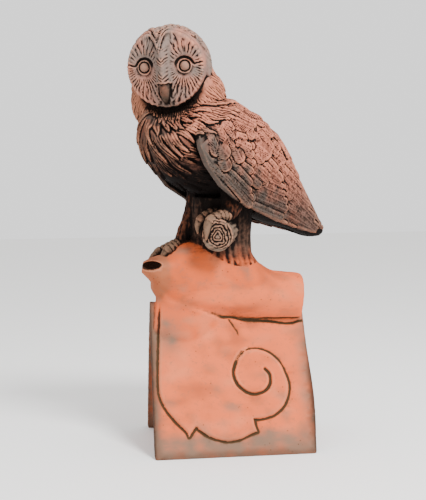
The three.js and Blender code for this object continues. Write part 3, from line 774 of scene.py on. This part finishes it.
for name, hand in (("nearWing", -1), ("farWing", 1)):
    chosen = chosenIn(name)
    relief[chosen] = layFeathers(chosen, wingSet(hand), 3)
chosen = chosenIn("body")
locks = bodySet()
relief[chosen] = layFeathers(chosen, locks, 4)
top = np.nonzero(inZones(*wings) & (share < 0.24))[0]
over = layFeathers(top, locks[-plumage["overShoulder"]:], 4)
worth = (1 - step(share[top], 0.1, 0.22)) * step(over, 0.3, 1)
relief[top] = relief[top] * (1 - worth) + over * worth
# No feathers where a wing lies over the body, so that the triangles go to what shows
covered = np.zeros(count)
covered[chosen] = [tree.ray_cast(points[i] + 3 * softNormals[i], softNormals[i], 60)[0] is not None for i in chosen]
covered = np.clip(2 * smooth(covered, 6) - 1, 0, 1)
relief *= 1 - covered
chosen = chosenIn("tail")
relief[chosen] = layFeathers(chosen, tailSet(), 5)

# Scales on the crown and long tufts down the nape, all away from the top of the face
faceTop = headFrame[:3, :3] @ np.array([0, 30, 40]) + headFrame[:3, 3]
back = chosenIn("head", "nape")
x, y, z = headPoints[back].T
pastFace = np.hypot(x, y) > faceRim(np.arctan2(y, x)) + np.where(y > 20, 3, 11)
chosen = back[(z < 6) | pastFace | (where[back] == zone["nape"])]
onCrown = headPoints[chosen, 1] > -5
crown = patchSet(chosen[onCrown], faceTop, 5.5, 11, 7.5, plumage["crownRise"], 9, "scale")
neck = patchSet(chosen[~onCrown], faceTop, 12, 36, 14, plumage["neckRise"], 10, "tuft")
relief[chosen] = layFeathers(chosen, neck + crown, 6)
print("feathers laid")


# Distance to a line of short straight pieces
def farFrom(x, y, line):
    best = np.full(len(x), 1e9)
    line = np.asarray(line, float)
    for a, b in zip(line[:-1], line[1:]):
        d = b - a
        t = np.clip(((x - a[0]) * d[0] + (y - a[1]) * d[1]) / max(d @ d, 1e-9), 0, 1)
        best = np.minimum(best, np.hypot(x - a[0] - t * d[0], y - a[1] - t * d[1]))
    return best


# Face: lines that run out from the eyes, the raised rim with its ruff, the ridge over the bill with its
# brow and nostril lines, the eyes' tails and lids. Depths and heights in mm.
face = {
    "stria": 0.55, "rim": 1.5, "rimGroove": 1.3, "ruff": 1.5, "ruffGroove": 1.1, "chevron": 0.4,
    "chevronSpacing": 4.8, "brow": 1.6, "browGroove": 2.2, "billGroove": 1.4, "lid": 2.3, "tailGroove": 1.2,
    "eyeGroove": 0.55, "socket": 2.2, "socketRadius": 12.2,
    "tail": [[5, 8.3], [9.5, 3.4], [14, -0.6], [21, 1], [32, 4.5]],  # from the eye's middle outward
}
chosen = chosenIn("head", "eye", "nape")
spots = headPoints[chosen]
x, y, z = spots.T
aside = np.abs(x)
angle = np.arctan2(y, x)
past = np.hypot(x, y) - faceRim(angle)  # mm outside the heart
eyeX, eyeY = aside - head["eyeSide"], y - head["eyeUp"]
eyeAngle = np.arctan2(eyeY, eyeX)
eyeOut = np.hypot(eyeX, eyeY)
pastEye = eyeOut - head["eyeRadius"]
wobble = waves(spots, 18, 21)
onFace = step(-past, 0, 3)

lines = np.sin(eyeAngle * np.where(eyeY > 0, 27, 40) + 1.2 * wobble)
lines = lines + 0.45 * np.sin(eyeAngle * 57 + 2 * waves(spots, 10, 22))
carved = face["stria"] * lines * step(eyeOut, 13, 22) * step(-past, -1, 3) * step(aside - 9 * (y > -22), 0, 5)
carved += face["rim"] * bell(past + 2.2, 2.0)
carved -= face["rimGroove"] * bell(past - 1.8, 1.5) * step(6 - past, 0, 3)
scallop = 1.2 * np.abs(np.sin(angle * 17 + wobble))
ruff = face["ruff"] * bell(past - 6.5 - scallop, 2.0) - face["ruffGroove"] * bell(past - 10.5 - scallop, 1.5)
carved += step(-y, -30, 10) * ruff
chevron = np.sin((y - 0.8 * aside) / face["chevronSpacing"] * 2 * math.pi + 1.3 * wobble) * (1 + 0.6 * wobble)
carved += face["chevron"] * chevron * step(10 - aside, 0, 4) * step(y, -24, -20) * step(32 - y, 0, 8)
browLine = y + 22 + 1.2 * np.abs(np.sin(x * 0.5)) - 0.08 * aside
brow = face["brow"] * bell(browLine - 1.5, 1.6) - face["browGroove"] * bell(browLine + 1.5, 1.5)
carved += brow * step(13 - aside, 0, 4)
carved -= face["billGroove"] * bell(aside - 8.5, 1.6) * step(-y, 24, 28) * (1 - step(-y, 40, 46))
carved += 0.45 * face["lid"] * bell(farFrom(eyeX, eyeY, face["tail"]), 1.2) * onFace
carved -= face["tailGroove"] * bell(farFrom(eyeX, eyeY - 3.0, face["tail"]), 1.4) * onFace
carved += face["lid"] * (0.75 + 0.25 * step(eyeY, -3, 3)) * bell(pastEye - 0.9, 1.2)
carved -= face["eyeGroove"] * bell(pastEye + 1.0, 0.9)
carved -= face["socket"] * bell(eyeOut - face["socketRadius"], 1.9) * step(eyeY, -3, 10)
relief[chosen] += carved * step(z, -8, 6) * (where[chosen] != zone["nape"])
print("face carved")


def curve(keys, times=8):
    keys = np.asarray(keys, float)
    return run(np.c_[keys, np.zeros(len(keys))], np.linspace(0, 1, len(keys) * times))[:, :2]


def within(x, y, loop):
    inside = np.zeros(len(x), bool)
    for a, b in zip(loop, np.roll(loop, -1, 0)):
        cross = (a[1] > y) != (b[1] > y)
        inside ^= cross & (x < (b[0] - a[0]) * (y - a[1]) / (b[1] - a[1] + 1e-12) + a[0])
    return inside


# Leaf: a raised scroll on each slope, with a groove that curls inward and two creases on the front one.
# Its lines are mm along the ridge from the middle and mm up the slope from the foot.
leaf = {
    "thickness": 5, "shoulder": 6, "line": 1.1, "groove": 3, "grooveLip": 1.0, "crease": 3, "shortCrease": 2.2,
    "left": [[-101, 240], [-103, 196], [-106, 152], [-108, 103], [-104, 84], [-97, 70], [-85, 54], [-71, 39],
             [-67, 31]],
    "base": [[-67, 31], [-62, 38], [-56, 44], [-50, 39], [-36, 30], [-14, 23], [7, 25], [21, 31], [33, 35]],
    "notch": [[33, 35], [30, 44], [29, 53]],
    "right": [[29, 53], [44, 54], [60, 59], [74, 71], [82, 87], [84, 103], [80, 119], [73, 136], [59, 150],
              [43, 157], [30, 157], [18, 153], [10, 143]],
    "top": [[10, 143], [30, 165], [34, 190], [30, 225]],  # where it runs out into the slope
    "inward": [[18, 153], [10, 143], [3, 125], [4, 112], [10, 101], [21, 92], [33, 89], [47, 93], [55, 102],
               [57, 112], [55, 120], [50, 126]],
    "longCrease": [[-3, 215], [14, 205], [37, 202], [61, 200], [91, 196], [108, 199], [122, 201]],
    "sideCrease": [[-7, 217], [-1, 207], [8, 191], [13, 183], [14, 172]],
    "brushMark": 0.1, "unevenness": 0.12,
}
leafTop, leafInward = curve(leaf["top"]), curve(leaf["inward"])
leafEdge = np.vstack([curve(leaf[part]) for part in ("left", "base", "notch", "right")])
leafLoop = np.vstack([leafEdge, leafTop, [[28, 240]]])
longCrease, sideCrease = curve(leaf["longCrease"]), curve(leaf["sideCrease"])
slopeUp = unit([0, foot - tile["slopeTopHalfSpan"], tile["slopeHeight"]])

chosen = chosenIn(*clayGround)
p = points[chosen]
ground = np.zeros(len(p))
# painted shade round the leaf's edge and in its groove and crease, and a painted highlight on its inner ledge
border, leafShade, ledgeHighlight = np.zeros(count), np.zeros(count), np.zeros(count)  # for the colours further down
for front in (True, False):
    on = (p[:, 1] < 0) == front
    spots = chosen[on]
    turned = np.array([1, 1, 1] if front else [-1, -1, 1])
    q = p[on] * turned
    x, q = q[:, 0], (q - [0, -foot, 0]) @ slopeUp
    faces = normals[spots] @ (np.cross([1, 0, 0], slopeUp) * turned)  # 1 where the slope's own face is
    far = farFrom(x, q, leafEdge)
    inside = within(x, q, leafLoop)
    raised = 1 - (1 - np.clip(far / leaf["shoulder"], 0, 1)) ** 2.2
    h = leaf["thickness"] * np.where(inside, raised * step(farFrom(x, q, leafTop), 0, 34), 0)
    h -= leaf["line"] * np.where(inside, 0, bell(far - 1.3, 1.9))
    shown = (1 - step(q, 206, 230)) * step(faces, 0.4, 0.8)
    # painted shadow just outside the leaf's edge, faint just inside it
    ring = np.where(inside, 0.3 * bell(far, 1.5), bell(far, 5)) * shown
    if front:
        toInward, toLong = farFrom(x, q, leafInward), farFrom(x, q, longCrease)
        h -= leaf["groove"] * bell(toInward, 2.4) * step(farFrom(x, q, [[18, 153], [10, 143]]), -1, 8)
        h += leaf["grooveLip"] * bell(toInward - 4.2, 2.0)
        h -= leaf["crease"] * bell(toLong, 2.0) * step(x, -4, 6)
        h -= leaf["shortCrease"] * bell(farFrom(x, q, sideCrease), 2.2) * step(q, 172, 186)
        # painted shadow along the inward groove and the long crease
        ring = np.maximum(ring, 0.7 * bell(toInward, 3.5))
        ring = np.maximum(ring, 0.8 * bell(toLong, 4) * step(x, -4, 20))
    ground[on] = h * step(faces, 0.55, 0.85) * step(q, 0, 6) * (1 - step(q, 206, 236))
    leafShade[spots] = ring
    # painted highlight on the leaf's inner shoulder
    ledgeHighlight[spots] = np.where(inside, bell(far - 2.6, 2), 0) * shown
    margin = np.maximum(1 - step(q, 20, 46), 1 - step(x + 117, 4, 17))
    margin = np.maximum(margin, 0.7 * step(x, 92, 113))
    border[spots] = margin * np.where(inside, 0.25, 1) * (where[spots] == zone["tile"])
brushed = waves(p * [0.14, 1, 1], 4.5, 31) * np.isin(where[chosen], [zone["roll"], zone["mound"], zone["break"]])
ground += leaf["brushMark"] * brushed
ground += leaf["unevenness"] * waves(p * [0.4, 1, 1], 9, 32)
relief[chosen] += ground
print("leaf laid")

# Perch: growth rings and cracks on the cut stub, bark round it, scutes on the toes
stubEnd = perch["stub"][-1]
chosen = chosenIn("stub")
spots = (points[chosen] - stand[:3, 3]) / figure
x, z = spots[:, 0] - stubEnd[0], spots[:, 2] - stubEnd[2]
out = np.hypot(x / stubEnd[3], z / stubEnd[4])
angle = np.arctan2(z, x)
cut = step(-spots[:, 1], 54, 56.5)
rings = np.sin(out * 34 + 1.2 * np.sin(angle * 3) + 1.5 * waves(spots, 12, 41)) * step(out, 0.05, 0.2)
cracks = np.maximum(0, np.sin(angle * 14 + 1.5 * waves(spots, 9, 42))) ** 5 * step(out, 0.15, 0.5)
onCut = perch["ring"] * rings - perch["crack"] * cracks + perch["cutRim"] * bell(out - 0.93, 0.07)
relief[chosen] += cut * onCut + (1 - cut) * perch["bark"] * waves(spots * [1, 0.5, 1], 9, 43) * 0.5
chosen = chosenIn("trunk")
relief[chosen] += perch["grain"] * waves(points[chosen] * [1, 1, 0.3], 12, 44)
chosen = chosenIn("toe")
t = share[chosen]
relief[chosen] += perch["scute"] * np.abs(np.sin(t * 26)) * (1 - step(t, 0.55, 0.62))
relief[chosen] += perch["clawFold"] * bell(t - 0.6, 0.03)
chosen = chosenIn("leg")
relief[chosen] += 0.5 * waves(points[chosen] * [1, 1, 0.3], 6, 45)

# The relief is pushed out, and the branch's left end is scooped by an egg
points = points + softNormals * relief[:, None]
dish = np.array(branchKeys(branch["dish"])[0])
scoop = dish[[3, 3, 4]]
local = (points - dish[:3]) / scoop
deep = (local ** 2).sum(1) < 1
local[deep, 1] = np.sqrt(np.maximum(0, 1 - (local[deep][:, [0, 2]] ** 2).sum(1)))
points[deep] = local[deep] * scoop + dish[:3]
points[:, 2] = np.maximum(points[:, 2], 0)
writePoints(points)

# How deep each spot lies, by how far it is below the surface smoothed a little, more and much
normals = vectors(skin, "normal").astype(float)
softened, hollows = points, []
for times in (3, 14, 70):
    softened = smooth(softened, times, 0.8)
    hollows.append(((softened - points) * normals).sum(1))
fine, mid, broad = hollows
print("hollows read")

# Terracotta: red, iron-rich clay, pressed and modelled by hand, rubbed with a dark wash and fired
# without a glaze. That gives the eye a dull, chalky skin with no gloss: orange to salmon where it is
# rubbed bare, the wash left nearly black in every hollow, cloudy stains and small open pits.
clay = {
    # the last colour on the next line is the near black of the painted shade, and the one before it the pale clay
    # of wear and of the painted highlight
    "salmon": "#b96f58", "brown": "#93482c", "grey": "#6f5f50", "wornAndHighlight": "#dd9470", "paintedShade": "#2a1d17",
    "roughness": 0.88,
    "specular": 0.08,  # chalky clay scatters nearly all light, and the dark wash stays dark
    "blotch": 38.46,  # mm across a stain
    "speck": 5.882,  # mm; real specks are 1 to 2 mm, drawn as coarse as they need to show
    "pitSpacing": 6.667,  # mm from pit to pit
    "grit": 1.111, "gritStrength": 0.12,  # mm; real grit is 0.2 to 0.5 mm, drawn coarser to show
    # each zone where it is rubbed bare and where the wash stayed, the second colour also laid as painted shade
    "washes": {
        "tile": ("#d5653a", "#42301f"), "roll": ("#d5653a", "#42301f"), "mound": ("#c95a2f", "#3f2317"),
        "break": ("#a05b3c", "#37251c"), "trunk": ("#584034", "#0f0907"), "body": ("#433630", "#0b0605"),
        "nape": ("#94604a", "#1a100b"), "nearWing": ("#4e453f", "#0c0806"), "farWing": ("#4e453f", "#0c0806"),
        "tail": ("#4d2c1e", "#0c0705"), "head": ("#75655d", "#130d0a"), "eye": ("#8a6656", "#140e0b"),
        "bill": ("#55463c", "#100b08"), "stub": ("#6f5d4f", "#110c09"), "leg": ("#75442f", "#0e0806"),
        "toe": ("#6f5746", "#100b08"),
    },
}


# An sRGB hex colour as linear red, green, blue and alpha
def colour(text):
    parts = [int(text[i:i + 2], 16) / 255 for i in (1, 3, 5)]
    return [c / 12.92 if c <= 0.04045 else ((c + 0.055) / 1.055) ** 2.4 for c in parts] + [1.0]


proud, sunken = np.zeros((count, 3)), np.zeros((count, 3))
for name in zoneNames:
    bare, kept = clay["washes"][name]
    proud[where == zone[name]] = colour(bare)[:3]
    sunken[where == zone[name]] = colour(kept)[:3]


def blend(names, text, amount):
    amount = np.clip(np.where(inZones(*names), amount, 0), 0, 1)
    return proud + (np.array(colour(text)[:3]) - proud) * amount[:, None]


x, y, z = points.T
height = owlHeight()
drift, small = waves(points, 70, 51), waves(points, 24, 52)  # cloudy and smaller unevenness
salmon = step(x + z + 18 * small, 405, 480) * (0.15 + 0.85 * step(z, 330, 425))
proud = blend(wings, clay["salmon"], salmon * 0.9)
# painted shade on the far wing, low down and to the left
proud = blend(["farWing"], clay["paintedShade"], (1 - step(height, 120, 190)) * step(-x, 40, 70) * 0.8)
# salmon on the upper right of the breast, partly the clay's own colour and partly painted light on the side toward
# the key
proud = blend(["body"], clay["salmon"], step(height + 9 * small, 124, 196) * step(x + 8 * small, -106, -48) * 0.8)
proud = blend(["nape"], clay["salmon"], step(x + 10 * small, -90, -30) * 0.6)
cheek = step(np.abs(headPoints[:, 0]), 8, 24) * step(headPoints[:, 2], 0, 20)
proud = blend(["head"], clay["salmon"], cheek * step(small * 0.6 + drift * 0.4, -0.9, 0.8) * 0.6)
proud = blend(clayGround, clay["brown"], 0.6 * step(0.6 * drift + 0.7 * small, -0.2, 1.3))
proud = blend(clayGround, clay["wornAndHighlight"], 0.18 * step(-0.6 * drift + 0.6 * small, 0.2, 1.3))
smudge = bell(x + 92, 22) * bell(z - 168, 26) * 0.7
smudge += 0.55 * step(waves(points, 34, 53) + 0.4 * small, 0.6, 2.0)
proud = blend(["tile", "mound"], clay["grey"], np.clip(border * (0.9 + 0.2 * small) + smudge, 0, 0.9))
# painted shade on the tile's rounded ends and its left end band, and darker along its bottom edge
endShade = np.maximum(step(np.abs(x), 112, 116.5), 0.6 * (1 - step(z + 2 * small, 3, 11)))
endShade = np.maximum(endShade, 0.45 * (1 - step(x + 3 * small, -113, -104)))
proud = blend(["tile"], clay["paintedShade"], 0.85 * endShade)
# painted shade in and round the dished hollow at the branch's broken end
dishShade = bell(np.linalg.norm(points - dish[:3], axis=1), 19) * step(normals[:, 2], -0.1, 0.6)
proud = blend(["break", "mound", "toe"], clay["paintedShade"], 0.75 * dishShade)
proud = smooth(proud, 5)
proud = blend(["trunk"], clay["washes"]["mound"][0], 1 - step(height + 5 * small, -14, 26))
proud = smooth(proud, 8)
sunken = smooth(sunken, 5)

# The dark wash lies in the fine grooves and the broad hollows and all over the perch, and painted shade darkens the
# belly
# rubbed wear on the ridges, and the painted highlight on the leaf's inner ledge
wornAndHighlight = np.maximum(step(-fine, 0.12, 0.6), 0.8 * ledgeHighlight)
washAndShade = 0.62 * step(fine, -0.12, 0.42) + 0.5 * step(mid, -0.1, 1.1) + 0.3 * step(broad, 0.3, 3)
# painted shade on the body and tail: on every down-facing part and over the lower body
underShade = 0.16 + np.clip(-normals[:, 2], 0, 1) * 0.35 + 0.7 * (1 - step(height + 7 * small, 98, 168))
for names, amount in ((["body", "tail"], underShade), (["trunk", "leg"], 0.3 + 0.3 * step(height + 6 * small, -5, 60)),
                      (["stub", "toe"], 0.26), (wings, 0.2 + 0.4 * step(fine, 0, 0.3)),
                      (["head", "nape", "eye"], 0.1 + 0.12 * step(fine, 0, 0.35)), (["bill"], 0.3)):
    washAndShade += np.where(inZones(*names), amount, 0)
# the painted shadow round the leaf, made uneven
leafShadeAmount = 0.75 * leafShade * np.clip(0.75 + 0.35 * small, 0.3, 1.1)
washAndShade = np.where(inZones(*clayGround), washAndShade * 0.8 + leafShadeAmount, washAndShade + 0.08)
print("colours laid")

# Thinned to the triangles that the piece may have; each kept point takes the nearest point's colours
whole = bpy.data.objects.new("whole", skin)
bpy.context.scene.collection.objects.link(whole)
thin = whole.modifiers.new("thin", "DECIMATE")
thin.ratio = surface["triangles"] / sum(len(f.vertices) - 2 for f in skin.polygons)
thin.use_collapse_triangulate = True
kept = bpy.data.meshes.new_from_object(whole.evaluated_get(bpy.context.evaluated_depsgraph_get()))
keptCount = len(kept.vertices)
finder = KDTree(count)
for i, p in enumerate(points):
    finder.insert(p, i)
finder.balance()
keptPoints = vectors(kept, "co")
match = np.array([finder.find(p)[1] for p in keptPoints])
for name, values in (("proud", proud), ("sunken", sunken)):
    layer = kept.attributes.new(name, "FLOAT_COLOR", "POINT")
    layer.data.foreach_set("color", np.c_[values[match], np.ones(keptCount)].astype(np.float32).ravel())
print("thinned:", len(kept.polygons), "faces")

# How much of the sky each spot sees, for painted shade where little of it is seen
kept.update()
keptNormals = vectors(kept, "normal")
corners = np.empty(len(kept.polygons) * 3, np.int32)
kept.polygons.foreach_get("vertices", corners)
hull = BVHTree.FromPolygons([tuple(p) for p in keptPoints], [tuple(f) for f in corners.reshape(-1, 3)])
rng = np.random.default_rng(surface["seed"])
skyReach = surface["skyReach"]
start = keptPoints + keptNormals * 0.7
sky = np.zeros(keptCount)
for ray in range(surface["rays"]):
    way = unit(keptNormals + 0.95 * unit(rng.normal(size=(keptCount, 3))))
    for i in range(keptCount):
        hit = hull.ray_cast(start[i], way[i], skyReach)[3]
        sky[i] += 1 if hit is None else 0.6 * hit / skyReach
sky /= surface["rays"]
pairs = pairsOf(kept)
keptNeighbours = np.bincount(pairs.ravel(), minlength=keptCount)
for _ in range(3):
    sky = 0.4 * sky + 0.6 * neighbourSum(sky, pairs, keptCount) / keptNeighbours
# painted shade: the less sky a spot sees, the more of the dark it gets with the wash
for name, values in (("washAndShade", washAndShade[match] + 1.25 * (1 - step(sky, 0.15, 0.97))), ("wornAndHighlight", wornAndHighlight[match])):
    layer = kept.attributes.new(name, "FLOAT", "POINT")
    layer.data.foreach_set("value", values.astype(np.float32))
print("sky read")

# Placed on the frame, in metres
middle = np.mean([mount["pos_m"] for mount in frame["record"]["mounts"]], 0)
placed = keptPoints / 1000 + [middle[0], middle[1], 0]
kept.vertices.foreach_set("co", placed.astype(np.float32).ravel())
kept.update()
bpy.data.objects.remove(whole)
piece = bpy.data.objects.new("ridgeTileClay", kept)
bpy.context.scene.collection.objects.link(piece)
for polygon in kept.polygons:
    polygon.use_smooth = True

material = bpy.data.materials.new("firedTerracotta")
material.use_nodes = True
nodes, links = material.node_tree.nodes, material.node_tree.links
nodes.clear()


# Adds one node with its settings and its inputs, which are values or other nodes' outputs
def node(kind, inputs=None, **settings):
    made = nodes.new("ShaderNode" + kind)
    for key, value in settings.items():
        setattr(made, key, value)
    for key, value in (inputs or {}).items():
        if isinstance(value, bpy.types.NodeSocket):
            links.new(value, made.inputs[key])
        else:
            made.inputs[key].default_value = value
    return made


# What was laid on the mesh's points, and patterns whose scale is worked out from mm
place = node("TexCoord").outputs["Object"]
proudHere = node("Attribute", attribute_name="proud").outputs["Color"]
sunkenHere = node("Attribute", attribute_name="sunken").outputs["Color"]
washAndShadeHere = node("Attribute", attribute_name="washAndShade").outputs["Fac"]
wornAndHighlightHere = node("Attribute", attribute_name="wornAndHighlight").outputs["Fac"]
noise = {}
for name, detail in (("blotch", 5), ("speck", 4), ("grit", 3)):
    pattern = {"Vector": place, "Scale": 1000 / clay[name], "Detail": detail, "Roughness": 0.6}
    noise[name] = node("TexNoise", pattern).outputs["Fac"]
pit = node("TexVoronoi", {"Vector": place, "Scale": 1000 / clay["pitSpacing"]}).outputs["Distance"]

# Each share: what it is read from, between which values, and what it runs from and to
shares = {}
for name, field, low, high, first, last in (
        ("stain", noise["blotch"], 0.5, 0.8, 0, 0.35), ("specks", noise["speck"], 0.52, 0.8, 0, 0.4),
        ("pit", pit, 0.17, 0.08, 0, 1), ("pitted", noise["blotch"], 0.5, 0.62, 0, 0.8),
        ("ragged", noise["speck"], 0.3, 0.75, -0.16, 0.16)):
    shares[name] = node("MapRange", {"Value": field, "From Min": low, "From Max": high, "To Min": first,
                                     "To Max": last}, interpolation_type="SMOOTHSTEP").outputs["Result"]
pits = node("Math", {0: shares["pit"], 1: shares["pitted"]}, operation="MULTIPLY").outputs["Value"]
rubbedAndHighlight = node("Math", {0: wornAndHighlightHere, 1: 0.35}, operation="MULTIPLY").outputs["Value"]
# the dark wash together with the painted shade, made ragged
washAndShadeSum = node("Math", {0: washAndShadeHere, 1: shares["ragged"]}, operation="ADD").outputs["Value"]
washAndShadeMix = node("MapRange", {"Value": washAndShadeSum, "From Min": 0.12, "From Max": 1.0},
            interpolation_type="SMOOTHSTEP").outputs["Result"]

# The bare clay, stained and speckled, then its pits, its rubbed edges with the painted highlight, and last the dark
# wash with the painted shade
base = proudHere
for amount, over in ((shares["stain"], colour(clay["brown"])), (shares["specks"], colour(clay["grey"])),
                     (pits, sunkenHere), (rubbedAndHighlight, colour(clay["wornAndHighlight"])), (washAndShadeMix, sunkenHere)):
    base = node("Mix", {0: amount, 6: base, 7: over}, data_type="RGBA").outputs[2]
bump = node("Bump", {"Height": noise["grit"], "Strength": clay["gritStrength"], "Distance": 0.0008})
shader = node("BsdfPrincipled", {"Base Color": base, "Roughness": clay["roughness"],
                                 "Specular IOR Level": clay["specular"], "Normal": bump.outputs["Normal"]})
node("OutputMaterial", {"Surface": shader.outputs["BSDF"]})
kept.materials.clear()
kept.materials.append(material)

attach(piece, "root")
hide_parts("owl_ridge_tile")
print("clay coloured")

# Studio: a pale matt floor, two soft lights, an even white surround and the photograph's camera
studio = {
    "floor": "#f4f3f1", "floorRoughness": 0.9, "floorHalf": 6, "surround": 1.4,
    "aim": (0, 0, 0.3),
    "key": {"place": (0.6, -1.3, 1.9), "size": 0.6, "power": 75},
    "fill": {"place": (-1.4, -1.0, 0.9), "size": 1.2, "power": 4},
    "yaw": 6.68, "pitch": -3.82, "roll": -0.79, "lens": 71.76, "camera": (-0.1935, -1.5, 0.3922),
}
half = studio["floorHalf"]
floorMesh = bpy.data.meshes.new("floor")
floorMesh.from_pydata([(-half, -half, 0), (half, -half, 0), (half, half, 0), (-half, half, 0)], [], [(0, 1, 2, 3)])
floor = bpy.data.objects.new("floor", floorMesh)
bpy.context.scene.collection.objects.link(floor)
pale = bpy.data.materials.new("palePaper")
pale.use_nodes = True
pale.node_tree.nodes["Principled BSDF"].inputs["Base Color"].default_value = colour(studio["floor"])
pale.node_tree.nodes["Principled BSDF"].inputs["Roughness"].default_value = studio["floorRoughness"]
floorMesh.materials.append(pale)
floor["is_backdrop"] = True

world = bpy.data.worlds.new("studio")
world.use_nodes = True
world.node_tree.nodes["Background"].inputs["Color"].default_value = (1, 1, 1, 1)
world.node_tree.nodes["Background"].inputs["Strength"].default_value = studio["surround"]
bpy.context.scene.world = world
for name in ("key", "fill"):
    light = bpy.data.lights.new(name, "AREA")
    light.shape = "DISK"
    light.size = studio[name]["size"]
    light.energy = studio[name]["power"]
    lamp = bpy.data.objects.new(name, light)
    lamp.location = studio[name]["place"]
    toward = Vector(studio["aim"]) - Vector(studio[name]["place"])
    lamp.rotation_euler = toward.to_track_quat("-Z", "Y").to_euler()
    bpy.context.scene.collection.objects.link(lamp)

yaw, pitch, roll = (studio[name] * degrees for name in ("yaw", "pitch", "roll"))
forward = np.array([math.sin(yaw) * math.cos(pitch), math.cos(yaw) * math.cos(pitch), math.sin(pitch)])
level = np.array([math.cos(yaw), -math.sin(yaw), 0])
right = level * math.cos(roll) + np.cross(level, forward) * math.sin(roll)
turned = np.stack([right, np.cross(right, forward), -forward], 1)
seenFrom = np.array(studio["camera"]) + [middle[0], middle[1], 0]
camera = bpy.data.objects.new("camera", bpy.data.cameras.new("camera"))
camera.matrix_world = Matrix([[*turned[0], seenFrom[0]], [*turned[1], seenFrom[1]], [*turned[2], seenFrom[2]],
                              [0, 0, 0, 1]])
camera.data.sensor_fit = "AUTO"
camera.data.sensor_width = 36
camera.data.lens = studio["lens"]
bpy.context.scene.collection.objects.link(camera)
bpy.context.scene.camera = camera
print("studio set")

low, high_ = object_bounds()
